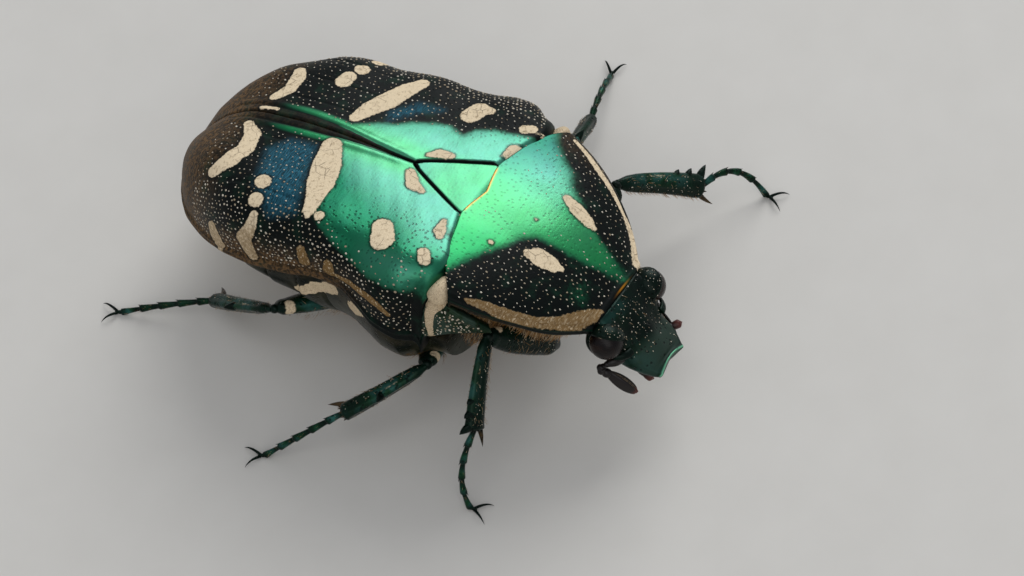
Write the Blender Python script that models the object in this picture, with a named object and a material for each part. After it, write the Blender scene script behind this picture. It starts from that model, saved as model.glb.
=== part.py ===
"""Life-size display model of the green flower beetle Protaetia philippensis, standing as it walks."""

import math

import bmesh
import bpy
import numpy as np
from mathutils import Matrix, Vector

MM = 0.001
GAP = 0.3

# Stance: the body leans to its left, where the legs reach furthest out.
LEAN = math.radians(8.0)
BODY_DROP = -1.113
STANCE_CENTRE = (2.59, 3.121)

# Dorsal midline of the body, as (y, z) from the front of the pronotum to the tip of the elytra.
DORSAL_LINE = (
    (-6.1, 6.8), (-5.0, 7.65), (-3.6, 8.5), (-2.0, 9.15), (0.0, 9.6), (1.5, 9.62), (3.2, 9.58),
    (5.0, 9.55), (7.1, 9.45), (9.1, 9.17), (11.2, 8.5), (12.5, 7.4), (13.4, 6.1), (13.9, 5.1),
)

# Outer margin of one elytron, as (y, half width, z), pinched in behind the shoulder.
ELYTRON_MARGIN = (
    (-0.05, 5.5, 6.0), (0.8, 6.05, 6.35), (1.6, 6.1, 6.55), (2.6, 5.8, 6.9), (3.6, 5.45, 7.15),
    (5.0, 5.3, 7.0), (6.3, 5.4, 6.65), (7.6, 5.4, 6.35), (8.7, 5.2, 6.05), (9.9, 4.75, 5.6),
    (11.4, 3.9, 5.1), (12.6, 2.9, 4.85), (13.4, 1.7, 4.75), (13.85, 0.7, 4.8),
)
# How far the front edge of an elytron reaches forward, as (distance out, reach), fading behind the edge.
ELYTRON_FORWARD = (
    (0.0, 0.0), (1.5, 0.04), (2.2, 0.12), (3.1, 0.24), (3.7, 0.38), (4.2, 0.34), (4.8, 0.08), (5.2, -0.12),
    (5.5, -0.33), (7.0, -0.33),
)
ELYTRON_FADE = 0.1
ELYTRON_LENGTH = 13.3
ELYTRON_FRONT = 0.62
ELYTRON_EDGE = 0.3
SECTION_FRONT = 4.8
SECTION_REAR = 3.0
# Swellings of each elytron, as (x, y, spread, height): shoulder, two along the side and the hind callus.
ELYTRON_SWELLINGS = (
    (4.6, 1.2, 1.4, 0.26), (4.9, 4.8, 1.5, 0.36), (4.4, 9.2, 1.8, 0.34), (2.7, 11.2, 1.1, 0.2),
)
SWELLING_OUT = 0.6
SWELLING_UP = 0.8

# Scutellum: a blunt triangle between the elytra.
SCUTELLUM_BASE = 0.42
SCUTELLUM_TIP = 3.25
SCUTELLUM_HALF = 1.5
SCUTELLUM_DEPTH = 2.6

# Pronotum: side margin from the front corner to the hind corner, as (half width, z, roundness).
PRONOTUM_SIDE = (
    (2.0, 6.45, 2.2), (3.35, 7.05, 2.2), (4.2, 7.7, 2.3), (4.8, 8.2, 2.6), (5.15, 8.6, 3.2),
)
PRONOTUM_FRONT_LINE = ((0.0, -6.1), (0.6, -6.12), (1.0, -5.95))
PRONOTUM_BASE_LINE = ((0.0, 0.0), (0.29, 0.28), (0.42, 0.12), (0.6, -0.12), (0.83, -0.6), (1.0, -1.2))
PRONOTUM_EDGE = 0.28

# Outer rim of the right side plate behind the pronotum's hind corner, as (distance out, y, z).
MESEPIMERON_RIM = (
    (4.5, -0.42, 8.85), (5.0, -0.36, 8.4), (5.35, -0.16, 7.5), (5.42, -0.02, 6.7), (5.3, -0.1, 6.05),
    (5.0, -1.3, 6.6), (4.75, -2.1, 6.85), (4.5, -2.75, 6.95), (4.8, -2.1, 7.4), (5.0, -1.5, 7.75),
    (5.05, -0.95, 8.0), (4.95, -0.78, 8.35),
)
MESEPIMERON_BULGE = 0.06
MESEPIMERON_DEPTH = 0.42

# Underside: lowest point of the body along y, and how boxy its sections are.
BELLY_LINE = (
    (-5.0, 4.9), (-4.0, 4.1), (-2.5, 3.4), (-0.8, 3.0), (0.6, 2.5), (2.2, 2.35), (4.2, 2.35),
    (6.0, 2.6), (8.0, 2.95), (10.0, 3.3), (12.0, 3.75), (13.6, 4.2),
)

BELLY_SQUARE = 0.7
THORAX_SQUARE = 0.95
ABDOMEN_SQUARE = 1.2

# Head: a sloping shield, as (distance along it, half width, thickness).
HEAD_TOP = (0.0, -6.1, 7.0)
HEAD_SLOPE = math.radians(46.0)
HEAD_PLAN = (
    (0.45, 1.4, 1.2), (0.75, 1.75, 1.9), (1.2, 1.85, 2.1), (1.7, 1.75, 2.0), (2.2, 1.56, 1.7),
    (2.8, 1.42, 1.25), (3.35, 1.2, 0.8), (3.76, 0.96, 0.5),
)
CLYPEUS_NOTCH = 0.24
EYE_ALONG = 1.1
EYE_SIDE = 1.93
EYE_RADII = (0.58, 0.6, 0.6)
EYE_DEPTH = 0.55
COLLAR_FRONT = -6.4
COLLAR_LOW = 5.6
COLLAR_SIZE = 8.0

LEG_SIDES = 10
TARSUS_SIDES = 8
TARSOMERES = 5
CLAW_LENGTH = 0.75
CLAW_RADIUS = 0.14
CLAW_ARCH = 0.2
CLAW_SPREAD = math.radians(34)
TOOTH_SIDES = 6
TOOTH_RADIUS = 0.3
SPUR_RADIUS = 0.2
SPUR_SINK = 0.28
SPUR_SPLAY = 0.55

# Each leg: hip in body axes, then knee, ankle and foot where it stands, the sag of the tarsus, the greatest
# femur width and thickness, the tibia width at knee and ankle, its outer teeth as (place, length) and
# its apical spurs as lengths.
FRONT_TEETH = ((0.70, 0.16), (0.84, 0.2), (0.985, 0.34))
SHIN_TOOTH = ((0.55, 0.3),)
LEGS = {
    "front_right": dict(
        hip=(-1.2, -3.6, 3.75), knee=(-3.3, -2.45, 5.75),
        ankle=(-6.13, -3.29, 3.40), foot=(-7.62, -3.72, 0.12),
        sag=(-0.35, 0.25, 0.2), femur=(1.15, 0.85), tibia=(0.6, 0.98), teeth=FRONT_TEETH, spurs=(0.85,)),
    "front_left": dict(
        hip=(1.2, -3.6, 3.75), knee=(6.5, -2.95, 4.5),
        ankle=(9.6, -5.15, 2.0), foot=(11.65, -7.1, 0.12),
        sag=(0.4, 0.25, 0.75), femur=(1.15, 0.85), tibia=(0.6, 0.98), teeth=FRONT_TEETH, spurs=(0.85,)),
    "middle_right": dict(
        hip=(-1.6, 1.0, 3.0), knee=(-4.35, -0.1, 3.55),
        ankle=(-7.11, 2.31, 2.17), foot=(-9.2, 4.95, 0.12),
        sag=(-0.1, 0.0, 0.1), femur=(1.2, 0.85), tibia=(0.6, 0.95), teeth=SHIN_TOOTH, spurs=(0.8, 0.65)),
    "middle_left": dict(
        hip=(1.6, 1.0, 3.0), knee=(6.9, 0.3, 2.95),
        ankle=(11.1, 0.95, 1.2), foot=(14.3, 1.75, 0.12),
        sag=(0.0, 0.0, 0.3), femur=(1.2, 0.85), tibia=(0.55, 0.82), teeth=SHIN_TOOTH, spurs=(0.8, 0.65)),
    "hind_right": dict(
        hip=(-1.5, 4.3, 3.0), knee=(-4.66, 6.92, 3.40),
        ankle=(-3.95, 10.35, 0.98), foot=(-5.75, 13.95, 0.12),
        sag=(0.0, 0.0, 0.1), femur=(1.4, 0.9), tibia=(0.55, 0.86), teeth=SHIN_TOOTH, spurs=(0.95, 0.75)),
    "hind_left": dict(
        hip=(1.5, 4.3, 3.0), knee=(6.3, 6.7, 2.3),
        ankle=(6.0, 9.9, 0.85), foot=(6.9, 13.3, 0.12),
        sag=(0.0, 0.0, 0.1), femur=(1.4, 0.9), tibia=(0.55, 0.86), teeth=SHIN_TOOTH, spurs=(0.95, 0.75)),
}
FOOT_WIDTH = 0.36
JOINT_STRAIGHT = 0.18
JOINT_BENT = 0.2
SOLE_LENGTH = 0.35
SLAB_SIZE = 6.0
TARSUS_WAIST = 0.25
TARSUS_BULB = 0.34

# Antenna path on the right side, in body axes, mirrored for the left.
ANTENNA_ROOT = (-1.5, -7.1, 4.95)
ANTENNA_BEND = (-2.3, -6.6, 4.9)
ANTENNA_TIP = (-1.75, -8.0, 3.7)
# Width of the antenna's stalk and club, as (share of the length, width).
STALK_SHAPE = ((0.0, 0.44), (0.3, 0.5), (0.8, 0.54), (1.0, 0.5), (1.2, 0.3))
CLUB_SHAPE = ((-0.12, 0.3), (0.0, 0.5), (0.2, 0.52), (0.35, 0.66), (0.7, 0.68), (0.92, 0.5), (1.0, 0.24))
CLUB_EDGE = Vector((0, 0.3, 1))
ANTENNA_FLATNESS = 0.85
# The right palp is folded under the head and the left one reaches out.
PALPS = {
    -1: ((-0.6, -7.1, 4.3), (-0.8, -7.6, 3.8), (-0.65, -8.2, 3.55)),
    1: ((0.65, -7.15, 4.4), (1.4, -7.7, 4.3), (1.85, -8.1, 4.55)),
}
PALP_RADIUS = 0.25

# Finishes, as (colour, roughness, metallic).
EMERALD_SHELL = ((0.02, 0.25, 0.10), 0.28, 0.9)
DARK_GREEN_SHELL = ((0.012, 0.03, 0.02), 0.35, 0.6)
EYE_BROWN = ((0.06, 0.03, 0.018), 0.25, 0.0)
FEELER_BROWN = ((0.05, 0.025, 0.015), 0.4, 0.1)
CREAM_FELT = ((0.62, 0.48, 0.3), 0.9, 0.0)


def curve_through(pairs, column=1):
    """Smooth monotone curve through rows of a short table, first column against another."""
    xs = np.array([row[0] for row in pairs], float)
    ys = np.array([row[column] for row in pairs], float)
    width = np.diff(xs)
    slope = np.diff(ys) / width
    tangent = np.empty_like(ys)
    tangent[0], tangent[-1] = slope[0], slope[-1]
    weighted = (slope[:-1] * width[1:] + slope[1:] * width[:-1]) / (width[1:] + width[:-1])
    tangent[1:-1] = np.where(slope[:-1] * slope[1:] > 0, weighted, 0.0)

    def value(x):
        x = min(max(x, xs[0]), xs[-1])
        i = min(int(np.searchsorted(xs, x, side="right")) - 1, len(width) - 1)
        s = (x - xs[i]) / width[i]
        start = (1 + 2 * s) * (1 - s) ** 2 * ys[i] + s * (1 - s) ** 2 * width[i] * tangent[i]
        return start + s * s * (3 - 2 * s) * ys[i + 1] + s * s * (s - 1) * width[i] * tangent[i + 1]

    return value


dorsal = curve_through(DORSAL_LINE)
belly = curve_through(BELLY_LINE)
margin_width = curve_through(ELYTRON_MARGIN, 1)
margin_height = curve_through(ELYTRON_MARGIN, 2)


def scutellum_half(y):
    """Half width of the scutellum at y, nearly straight sides to a blunt tip."""
    s = (y - SCUTELLUM_BASE) / (SCUTELLUM_TIP - SCUTELLUM_BASE)
    if s >= 1:
        return 0.0
    s = max(s, 0.0)
    return SCUTELLUM_HALF * (1 - s) ** 0.8 * (1 - 0.12 * s)


def arch(a, roundness):
    """Across and upward shares of a superellipse quarter, a from 0 at the crown to 1 at the rim."""
    turn = a * math.pi / 2
    return math.sin(turn) ** (2 / roundness), max(math.cos(turn), 0.0) ** (2 / roundness)


def elytron_point(a, v, side):
    """Point of the outer surface: a runs from suture to margin, v from base to apex."""
    row = v * (len(ELYTRON_MARGIN) - 1)
    i = min(int(row), len(ELYTRON_MARGIN) - 2)
    margin_y = ELYTRON_MARGIN[i][0] + (row - i) * (ELYTRON_MARGIN[i + 1][0] - ELYTRON_MARGIN[i][0])
    suture_y = ELYTRON_FRONT + ELYTRON_LENGTH * v
    inner = max(GAP / 2, scutellum_half(suture_y - GAP) + (GAP if suture_y < SCUTELLUM_TIP + GAP else 0))
    across, upward = arch(a, SECTION_FRONT + (SECTION_REAR - SECTION_FRONT) * v)
    outer = margin_width(margin_y)
    low = margin_height(margin_y)
    x = inner + (outer - inner) * across
    y = suture_y + (margin_y - suture_y) * across
    y -= curve_through(ELYTRON_FORWARD)(x) * max(0.0, 1 - v / ELYTRON_FADE) ** 2
    z = low + (dorsal(suture_y) - low) * upward
    swell = 0.0
    for centre_x, centre_y, spread, height in ELYTRON_SWELLINGS:
        swell += height * math.exp(-((x - centre_x) ** 2 + (y - centre_y) ** 2) / spread ** 2)
    swell *= min(1, 3 * upward) * min(1, 4 * a)
    return Vector((side * (x + SWELLING_OUT * swell), y, z + SWELLING_UP * swell))


def pronotum_point(a, v, side):
    """Point of the pronotum: a from midline to side margin, v from front to base."""
    width, height, roundness = (
        curve_through([(i / (len(PRONOTUM_SIDE) - 1),) + row for i, row in enumerate(PRONOTUM_SIDE)], c)(v)
        for c in (1, 2, 3)
    )
    across, upward = arch(a, roundness)
    front = curve_through(PRONOTUM_FRONT_LINE)(across)
    base = curve_through(PRONOTUM_BASE_LINE)(across)
    middle = PRONOTUM_FRONT_LINE[0][1] * (1 - v)
    z = height + (dorsal(middle) - height) * upward
    return Vector((side * width * across, front + (base - front) * v, z))


def material(name, finish):
    """Principled material of one piece, from its finish as (colour, roughness, metallic)."""
    colour, roughness, metallic = finish
    made = bpy.data.materials.new(name)
    made.use_nodes = True
    shader = made.node_tree.nodes["Principled BSDF"]
    shader.inputs["Base Color"].default_value = (*colour, 1)
    shader.inputs["Roughness"].default_value = roughness
    shader.inputs["Metallic"].default_value = metallic
    return made


def lofted(rings):
    """Closed bmesh through rings of equal length, capped by a fan at each end, faces outward."""
    bm = bmesh.new()
    rows = [[bm.verts.new(Vector(p)) for p in ring] for ring in rings]
    count = len(rows[0])
    for near, far in zip(rows, rows[1:]):
        for i in range(count):
            j = (i + 1) % count
            bm.faces.new((near[i], near[j], far[j], far[i]))
    for row in (rows[0], rows[-1]):
        middle = bm.verts.new(sum((v.co for v in row), Vector()) / count)
        for i in range(count):
            bm.faces.new((row[i], row[(i + 1) % count], middle))
    bmesh.ops.recalc_face_normals(bm, faces=bm.faces)
    if bm.calc_volume(signed=True) < 0:
        bmesh.ops.reverse_faces(bm, faces=bm.faces)
    return bm


def place(bm, name, collection, parent=None, look=None):
    """Object from a bmesh in millimetres, smooth with its sharp creases kept."""
    mesh = bpy.data.meshes.new(name)
    bm.to_mesh(mesh)
    bm.free()
    mesh.shade_smooth()
    mesh.set_sharp_from_angle(angle=math.radians(40))
    made = bpy.data.objects.new(name, mesh)
    collection.objects.link(made)
    made.parent = parent
    if look is not None:
        mesh.materials.append(material(name + "_finish", look))
    return made


def limb_rings(path, widths, depths, edge, sides):
    """Elliptical rings along a path; edge is the direction of the wide axis."""
    rings = []
    count = len(path)
    for i, point in enumerate(path):
        along = (path[min(i + 1, count - 1)] - path[max(i - 1, 0)]).normalized()
        wide = (edge - along * edge.dot(along)).normalized()
        thin = along.cross(wide)
        ring = []
        for k in range(sides):
            turn = 2 * math.pi * (k + 0.5) / sides
            reach, rise = widths[i] / 2 * math.cos(turn), depths[i] / 2 * math.sin(turn)
            ring.append(point + wide * reach + thin * rise)
        rings.append(ring)
    return rings


def cone(root, tip, bend, radius, sides, steps=2):
    """Tapering spine from root to tip, bowed by bend, as a bmesh."""
    rings = []
    across = (tip - root).orthogonal()
    for i in range(steps + 1):
        t = i / (steps + 0.35)
        point = root.lerp(tip, t) + bend * (4 * t * (1 - t))
        along = (tip - root + bend * (4 - 8 * t)).normalized()
        wide = (across - along * across.dot(along)).normalized()
        thin = along.cross(wide)
        r = radius * (1 - t) ** 0.85
        turns = [2 * math.pi * k / sides for k in range(sides)]
        rings.append([point + wide * (r * math.cos(turn)) + thin * (r * math.sin(turn)) for turn in turns])
    return lofted(rings)


def keep_largest(target):
    """Drops every closed surface of a mesh but its largest."""
    bm = bmesh.new()
    bm.from_mesh(target.data)
    unseen = set(bm.verts)
    islands = []
    while unseen:
        stack = [unseen.pop()]
        island = set(stack)
        while stack:
            for edge in stack.pop().link_edges:
                for vert in edge.verts:
                    if vert in unseen:
                        unseen.remove(vert)
                        island.add(vert)
                        stack.append(vert)
        islands.append(island)
    islands.sort(key=len)
    for island in islands[:-1]:
        bmesh.ops.delete(bm, geom=list(island), context="VERTS")
    bm.to_mesh(target.data)
    bm.free()


def boolean(target, others, operation):
    """Applies one Boolean with a collection of closed meshes, then removes them."""
    group = bpy.data.collections.new("tools")
    scene_cutters.children.link(group)
    for other in others:
        for holder in list(other.users_collection):
            holder.objects.unlink(other)
        group.objects.link(other)
        other.hide_render = True
        other.display_type = "WIRE"
    step = target.modifiers.new("join", "BOOLEAN")
    step.operation = operation
    step.operand_type = "COLLECTION"
    step.collection = group
    step.solver = "EXACT"
    bpy.context.view_layer.update()
    evaluated = target.evaluated_get(bpy.context.evaluated_depsgraph_get())
    joined = bpy.data.meshes.new_from_object(evaluated)
    target.modifiers.clear()
    target.data = joined
    for other in list(group.objects):
        bpy.data.objects.remove(other, do_unlink=True)
    bpy.data.collections.remove(group)
    keep_largest(target)


def belly_ring(y, half, top, bottom, sides=12, square=BELLY_SQUARE):
    """Section of the underside: flat above, rounded below, boxy where square is low."""
    ring = []
    for k in range(sides + 1):
        turn = math.pi * k / sides
        reach = abs(math.cos(turn)) ** square * math.copysign(1, math.cos(turn))
        ring.append(Vector((half * reach, y, top - (top - bottom) * math.sin(turn) ** 0.9)))
    return ring


def head_frame():
    along = Vector((0, -math.cos(HEAD_SLOPE), -math.sin(HEAD_SLOPE)))
    inward = Vector((0, math.sin(HEAD_SLOPE), -math.cos(HEAD_SLOPE)))
    return Vector(HEAD_TOP), along, inward


def build_elytron(side):
    rings = []
    steps = 26
    across = 10
    for i in range(steps + 1):
        v = i / steps
        outer = [elytron_point(k / across, v, side) for k in range(across + 1)]
        low = outer[-1].z - ELYTRON_EDGE
        under = Vector((outer[-1].x - side * 0.12, outer[-1].y, low))
        inner = Vector((outer[0].x, outer[0].y, margin_height(outer[0].y) - ELYTRON_EDGE))
        rings.append([*outer, under, inner])
    return lofted(rings)


def build_pronotum():
    rings = []
    steps = 14
    across = 9
    for i in range(steps + 1):
        v = i / steps
        left = [pronotum_point(k / across, v, 1) for k in range(across, 0, -1)]
        right = [pronotum_point(k / across, v, -1) for k in range(across + 1)]
        low = left[0].z - PRONOTUM_EDGE
        ends = [Vector((p.x * 0.975, p.y, low)) for p in (right[-1], left[0])]
        rings.append(left + right + ends)
    return lofted(rings)


def build_scutellum():
    rings = []
    steps = 8
    for i in range(steps + 1):
        y = SCUTELLUM_BASE + (SCUTELLUM_TIP - SCUTELLUM_BASE) * i / steps
        half = max(scutellum_half(y), 0.16)
        top = dorsal(y)
        notch = 0.1 * (1 - (i / steps)) if i == 0 else 0
        ring = []
        for k in range(-3, 4):
            share = k / 3
            ring.append(Vector((half * share, y + notch * share * share, top - 0.05 * share * share)))
        ring.append(Vector((half * 0.9, y, top - SCUTELLUM_DEPTH)))
        ring.append(Vector((-half * 0.9, y, top - SCUTELLUM_DEPTH)))
        rings.append(ring)
    return lofted(rings)


def pronotum_floor(y):
    """Height of the pronotum's lower face at y."""
    rows = [(pronotum_point(1, v / 8, 1).y, pronotum_point(1, v / 8, 1).z - PRONOTUM_EDGE) for v in range(9)]
    return curve_through(rows)(y)


def build_prosternum():
    rings = []
    front, rear, steps = -4.75, -1.25, 6
    for i in range(steps + 1):
        y = front + (rear - front) * i / steps
        s = i / steps
        half = 1.9 + 2.1 * s ** 0.8
        rings.append(belly_ring(y, half, pronotum_floor(y) - GAP, belly(y) + 0.3 * (1 - s)))
    return lofted(rings)


def build_thorax():
    rings = []
    front, rear, steps = -0.9, 5.1, 9
    for i in range(steps + 1):
        y = front + (rear - front) * i / steps
        half = margin_width(y) - (0.75 if y < 0.5 else 0.25)
        top = margin_height(y) - ELYTRON_EDGE - GAP
        rings.append(belly_ring(y, half, top, belly(y), square=THORAX_SQUARE))
    return lofted(rings)


def build_abdomen():
    rings = []
    front, rear, steps = 5.4, 12.3, 10
    for i in range(steps + 1):
        y = front + (rear - front) * i / steps
        half = margin_width(y) - 0.1 - 0.45 * min(1.0, (y - front) / 3)
        top = margin_height(y) - ELYTRON_EDGE - GAP
        rings.append(belly_ring(y, half, top, belly(y), square=ABDOMEN_SQUARE))
    return lofted(rings)


def build_pygidium():
    rings = []
    front, rear, steps = 12.6, 13.6, 4
    for i in range(steps + 1):
        y = front + (rear - front) * i / steps
        half = margin_width(y) - 0.25
        top = margin_height(y) - ELYTRON_EDGE - GAP
        rings.append(belly_ring(y, half, top, min(belly(y), top - 0.35), 8))
    return lofted(rings)


def build_mesepimeron(side):
    """Side plate between the pronotum's hind corner and the elytron's shoulder."""
    rim = [Vector((side * x, y, z)) for x, y, z in MESEPIMERON_RIM]
    middle = sum(rim, Vector()) / len(rim)
    bulge = Vector((side * MESEPIMERON_BULGE, 0, 0))
    shoulder = [p.lerp(middle, 0.3) + bulge for p in rim]
    inner = [p - Vector((side * MESEPIMERON_DEPTH, 0, 0)) for p in rim]
    return lofted([inner, rim, shoulder])


def build_head():
    top, along, inward = head_frame()
    rings = []
    for i, (t, half, deep) in enumerate(HEAD_PLAN):
        centre = top + along * t + inward * (deep / 2)
        ring = []
        sides = 18
        for k in range(sides):
            turn = 2 * math.pi * k / sides
            across = abs(math.cos(turn)) ** 0.62 * math.copysign(1, math.cos(turn))
            up = abs(math.sin(turn)) ** 0.7 * math.copysign(1, math.sin(turn))
            point = centre + Vector((half * across, 0, 0)) - inward * (deep / 2 * up)
            if i == len(HEAD_PLAN) - 1:
                point -= along * (CLYPEUS_NOTCH * (1 - across * across))
            ring.append(point)
        rings.append(ring)
    return lofted(rings)


def build_eye(side, grow=0.0):
    top, along, inward = head_frame()
    centre = top + along * EYE_ALONG + inward * EYE_DEPTH + Vector((side * EYE_SIDE, 0, 0))
    bm = bmesh.new()
    bmesh.ops.create_uvsphere(bm, u_segments=14, v_segments=9, radius=1.0)
    scale = Matrix.Diagonal((*(r + grow for r in EYE_RADII), 1))
    bmesh.ops.transform(bm, matrix=Matrix.Translation(centre) @ scale, verts=bm.verts)
    return bm


def bent_path(points, steps):
    """Points along a quadratic bend through three controls."""
    a, b, c = points
    shares = [i / steps for i in range(steps + 1)]
    return [a * (1 - t) ** 2 + b * (2 * t * (1 - t)) + c * t * t for t in shares]


def build_antenna(side, grow=0.0):
    """The stalk from the head to the elbow, and the club that turns back from it, as two closed forms."""
    flip = Vector((-side, 1, 1))
    root, bend, tip = (Vector(p) * flip for p in (ANTENNA_ROOT, ANTENNA_BEND, ANTENNA_TIP))
    forms = []
    for start, end, shape in ((root, bend, STALK_SHAPE), (bend, tip, CLUB_SHAPE)):
        along = (end - start).normalized()
        path, widths = [], []
        for place_along, width in shape:
            path.append(start.lerp(end, place_along))
            widths.append(width)
        path[0] = path[0] - along * grow
        path[-1] = path[-1] + along * grow
        depths = [w * ANTENNA_FLATNESS + 2 * grow for w in widths]
        forms.append(lofted(limb_rings(path, [w + 2 * grow for w in widths], depths, CLUB_EDGE, 8)))
    return forms


def build_palp(side, grow=0.0):
    path = bent_path([Vector(p) for p in PALPS[side]], 5)
    widths = [2 * PALP_RADIUS * s + 2 * grow for s in (0.9, 0.95, 1.0, 1.0, 0.95, 0.6)]
    path[0] = path[0] + (path[0] - path[1]).normalized() * grow
    return lofted(limb_rings(path, widths, widths, Vector((1, 0, 0)), 8))


def leg_points(leg):
    hip = pose @ Vector(leg["hip"])
    knee, ankle, foot = (Vector(leg[name]) for name in ("knee", "ankle", "foot"))
    outer = knee - (hip + ankle) / 2
    return hip, knee, ankle, foot, outer


def joint_clearance(before, joint, after):
    """Room kept each side of a joint, more where the leg bends sharply."""
    bend = (joint - before).normalized().dot((after - joint).normalized())
    return JOINT_STRAIGHT + JOINT_BENT * (1 - bend)


def build_femur(leg, grow=0.0):
    hip, knee, ankle, foot, outer = leg_points(leg)
    end = knee - (knee - hip).normalized() * joint_clearance(hip, knee, ankle)
    places = (-0.12, 0.0, 0.12, 0.3, 0.5, 0.7, 0.88, 0.96, 1.0)
    shares = (0.5, 0.92, 0.95, 1.0, 1.0, 0.92, 0.72, 0.62, 0.35)
    wide, deep = leg["femur"]
    path = [hip.lerp(end, t) for t in places]
    widths = [wide * s + 2 * grow for s in shares]
    depths = [deep * s + 2 * grow for s in shares]
    if grow:
        path[0] = path[0] - (end - hip).normalized() * grow
    return lofted(limb_rings(path, widths, depths, outer, LEG_SIDES))


def tibia_size(leg, t):
    slim, broad = leg["tibia"]
    return slim + (broad - slim) * t ** 0.8


def build_tibia(leg, name, collection, look):
    hip, knee, ankle, foot, outer = leg_points(leg)
    along = (ankle - knee).normalized()
    start = knee + along * joint_clearance(hip, knee, ankle)
    places = (0.0, 0.05, 0.2, 0.4, 0.6, 0.8, 0.95, 1.0)
    path = [start.lerp(ankle, t) for t in places]
    widths = [tibia_size(leg, t) * (0.55 if t == 0 else 0.8 if t == 1 else 1) for t in places]
    depths = [w * 0.72 for w in widths]
    shin = place(lofted(limb_rings(path, widths, depths, outer, LEG_SIDES)), name, collection, stance, look)
    edge = (outer - along * outer.dot(along)).normalized()
    length = (ankle - start).length
    pieces = []
    for where, size in leg["teeth"]:
        root = start + along * (length * where) + edge * (tibia_size(leg, where) * 0.2)
        tip = root + edge * (tibia_size(leg, where) * 0.3 + size) + along * (size * 0.75)
        pieces.append(cone(root - along * 0.08, tip, edge * 0.03, TOOTH_RADIUS, TOOTH_SIDES))
    thin = along.cross(edge)
    offsets = (0,) if len(leg["spurs"]) == 1 else (-1, 1)
    for size, offset in zip(leg["spurs"], offsets):
        root = ankle - along * SPUR_SINK - edge * (tibia_size(leg, 1) * 0.22) + thin * (0.16 * offset)
        tip = root + along * (size + 0.1) - edge * SPUR_SPLAY + thin * (0.2 * offset)
        pieces.append(cone(root, tip, -edge * 0.05, SPUR_RADIUS, TOOTH_SIDES))
    boolean(shin, [place(piece, "tooth", collection, stance) for piece in pieces], "UNION")
    return shin


def tarsus_path(leg):
    hip, knee, ankle, foot, outer = leg_points(leg)
    toward = (foot - ankle).normalized()
    start = ankle + toward * (GAP + joint_clearance(knee, ankle, foot))
    sag = Vector(leg["sag"])
    middle = (start + foot) / 2 + sag * 2
    return start, middle, foot


def build_tarsus(leg, name, collection, look):
    start, middle, foot = tarsus_path(leg)
    path, widths = [], []
    for segment in range(TARSOMERES):
        for share, size in ((0.02, TARSUS_WAIST * 1.8), (0.6, TARSUS_BULB * 1.75), (0.92, TARSUS_BULB * 2)):
            t = (segment + share) / TARSOMERES
            path.append(start * (1 - t) ** 2 + middle * (2 * t * (1 - t)) + foot * t * t)
            widths.append(size * (1 - 0.12 * t))
    up = Vector((0, 0, 1))
    ahead = foot - middle
    ahead.z = 0
    ahead.normalize()
    for reach in (0.0, 0.6, 1.0):
        path.append(foot + ahead * (SOLE_LENGTH * reach))
        widths.append(FOOT_WIDTH * (1 - 0.25 * reach * reach))
    body = place(lofted(limb_rings(path, widths, [w * 0.82 for w in widths], up, TARSUS_SIDES)),
                 name, collection, stance, look)
    side = up.cross(ahead)
    claws = []
    for turn in (-CLAW_SPREAD, CLAW_SPREAD):
        reach = ahead * math.cos(turn) + side * math.sin(turn)
        root = foot + ahead * (SOLE_LENGTH - 0.12) + side * math.copysign(0.05, turn)
        root.z = foot.z
        tip = root + reach * CLAW_LENGTH
        tip.z = 0.03
        claw = cone(root, tip, up * CLAW_ARCH, CLAW_RADIUS, TOOTH_SIDES, 4)
        claws.append(place(claw, "claw", collection, stance))
    boolean(body, claws, "UNION")
    slab = bmesh.new()
    bmesh.ops.create_cube(slab, size=SLAB_SIZE)
    bmesh.ops.translate(slab, vec=(foot.x, foot.y, -SLAB_SIZE / 2), verts=slab.verts)
    boolean(body, [place(slab, "sole_cutter", collection, stance)], "DIFFERENCE")
    return body


for old in list(bpy.data.objects):
    bpy.data.objects.remove(old, do_unlink=True)

beetle = bpy.data.collections.new("protaetia_philippensis")
scene_cutters = bpy.data.collections.new("cutters")
bpy.context.scene.collection.children.link(beetle)
bpy.context.scene.collection.children.link(scene_cutters)

stance = bpy.data.objects.new("stance", None)
stance.location = (-STANCE_CENTRE[0], -STANCE_CENTRE[1], 0)
trunk = bpy.data.objects.new("trunk", None)
trunk.parent = stance
trunk.location = (0, 0, BODY_DROP)
trunk.rotation_euler = (0, LEAN, 0)
for empty in (stance, trunk):
    beetle.objects.link(empty)
pose = Matrix.Translation((0, 0, BODY_DROP)) @ Matrix.Rotation(LEAN, 4, "Y")

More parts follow.
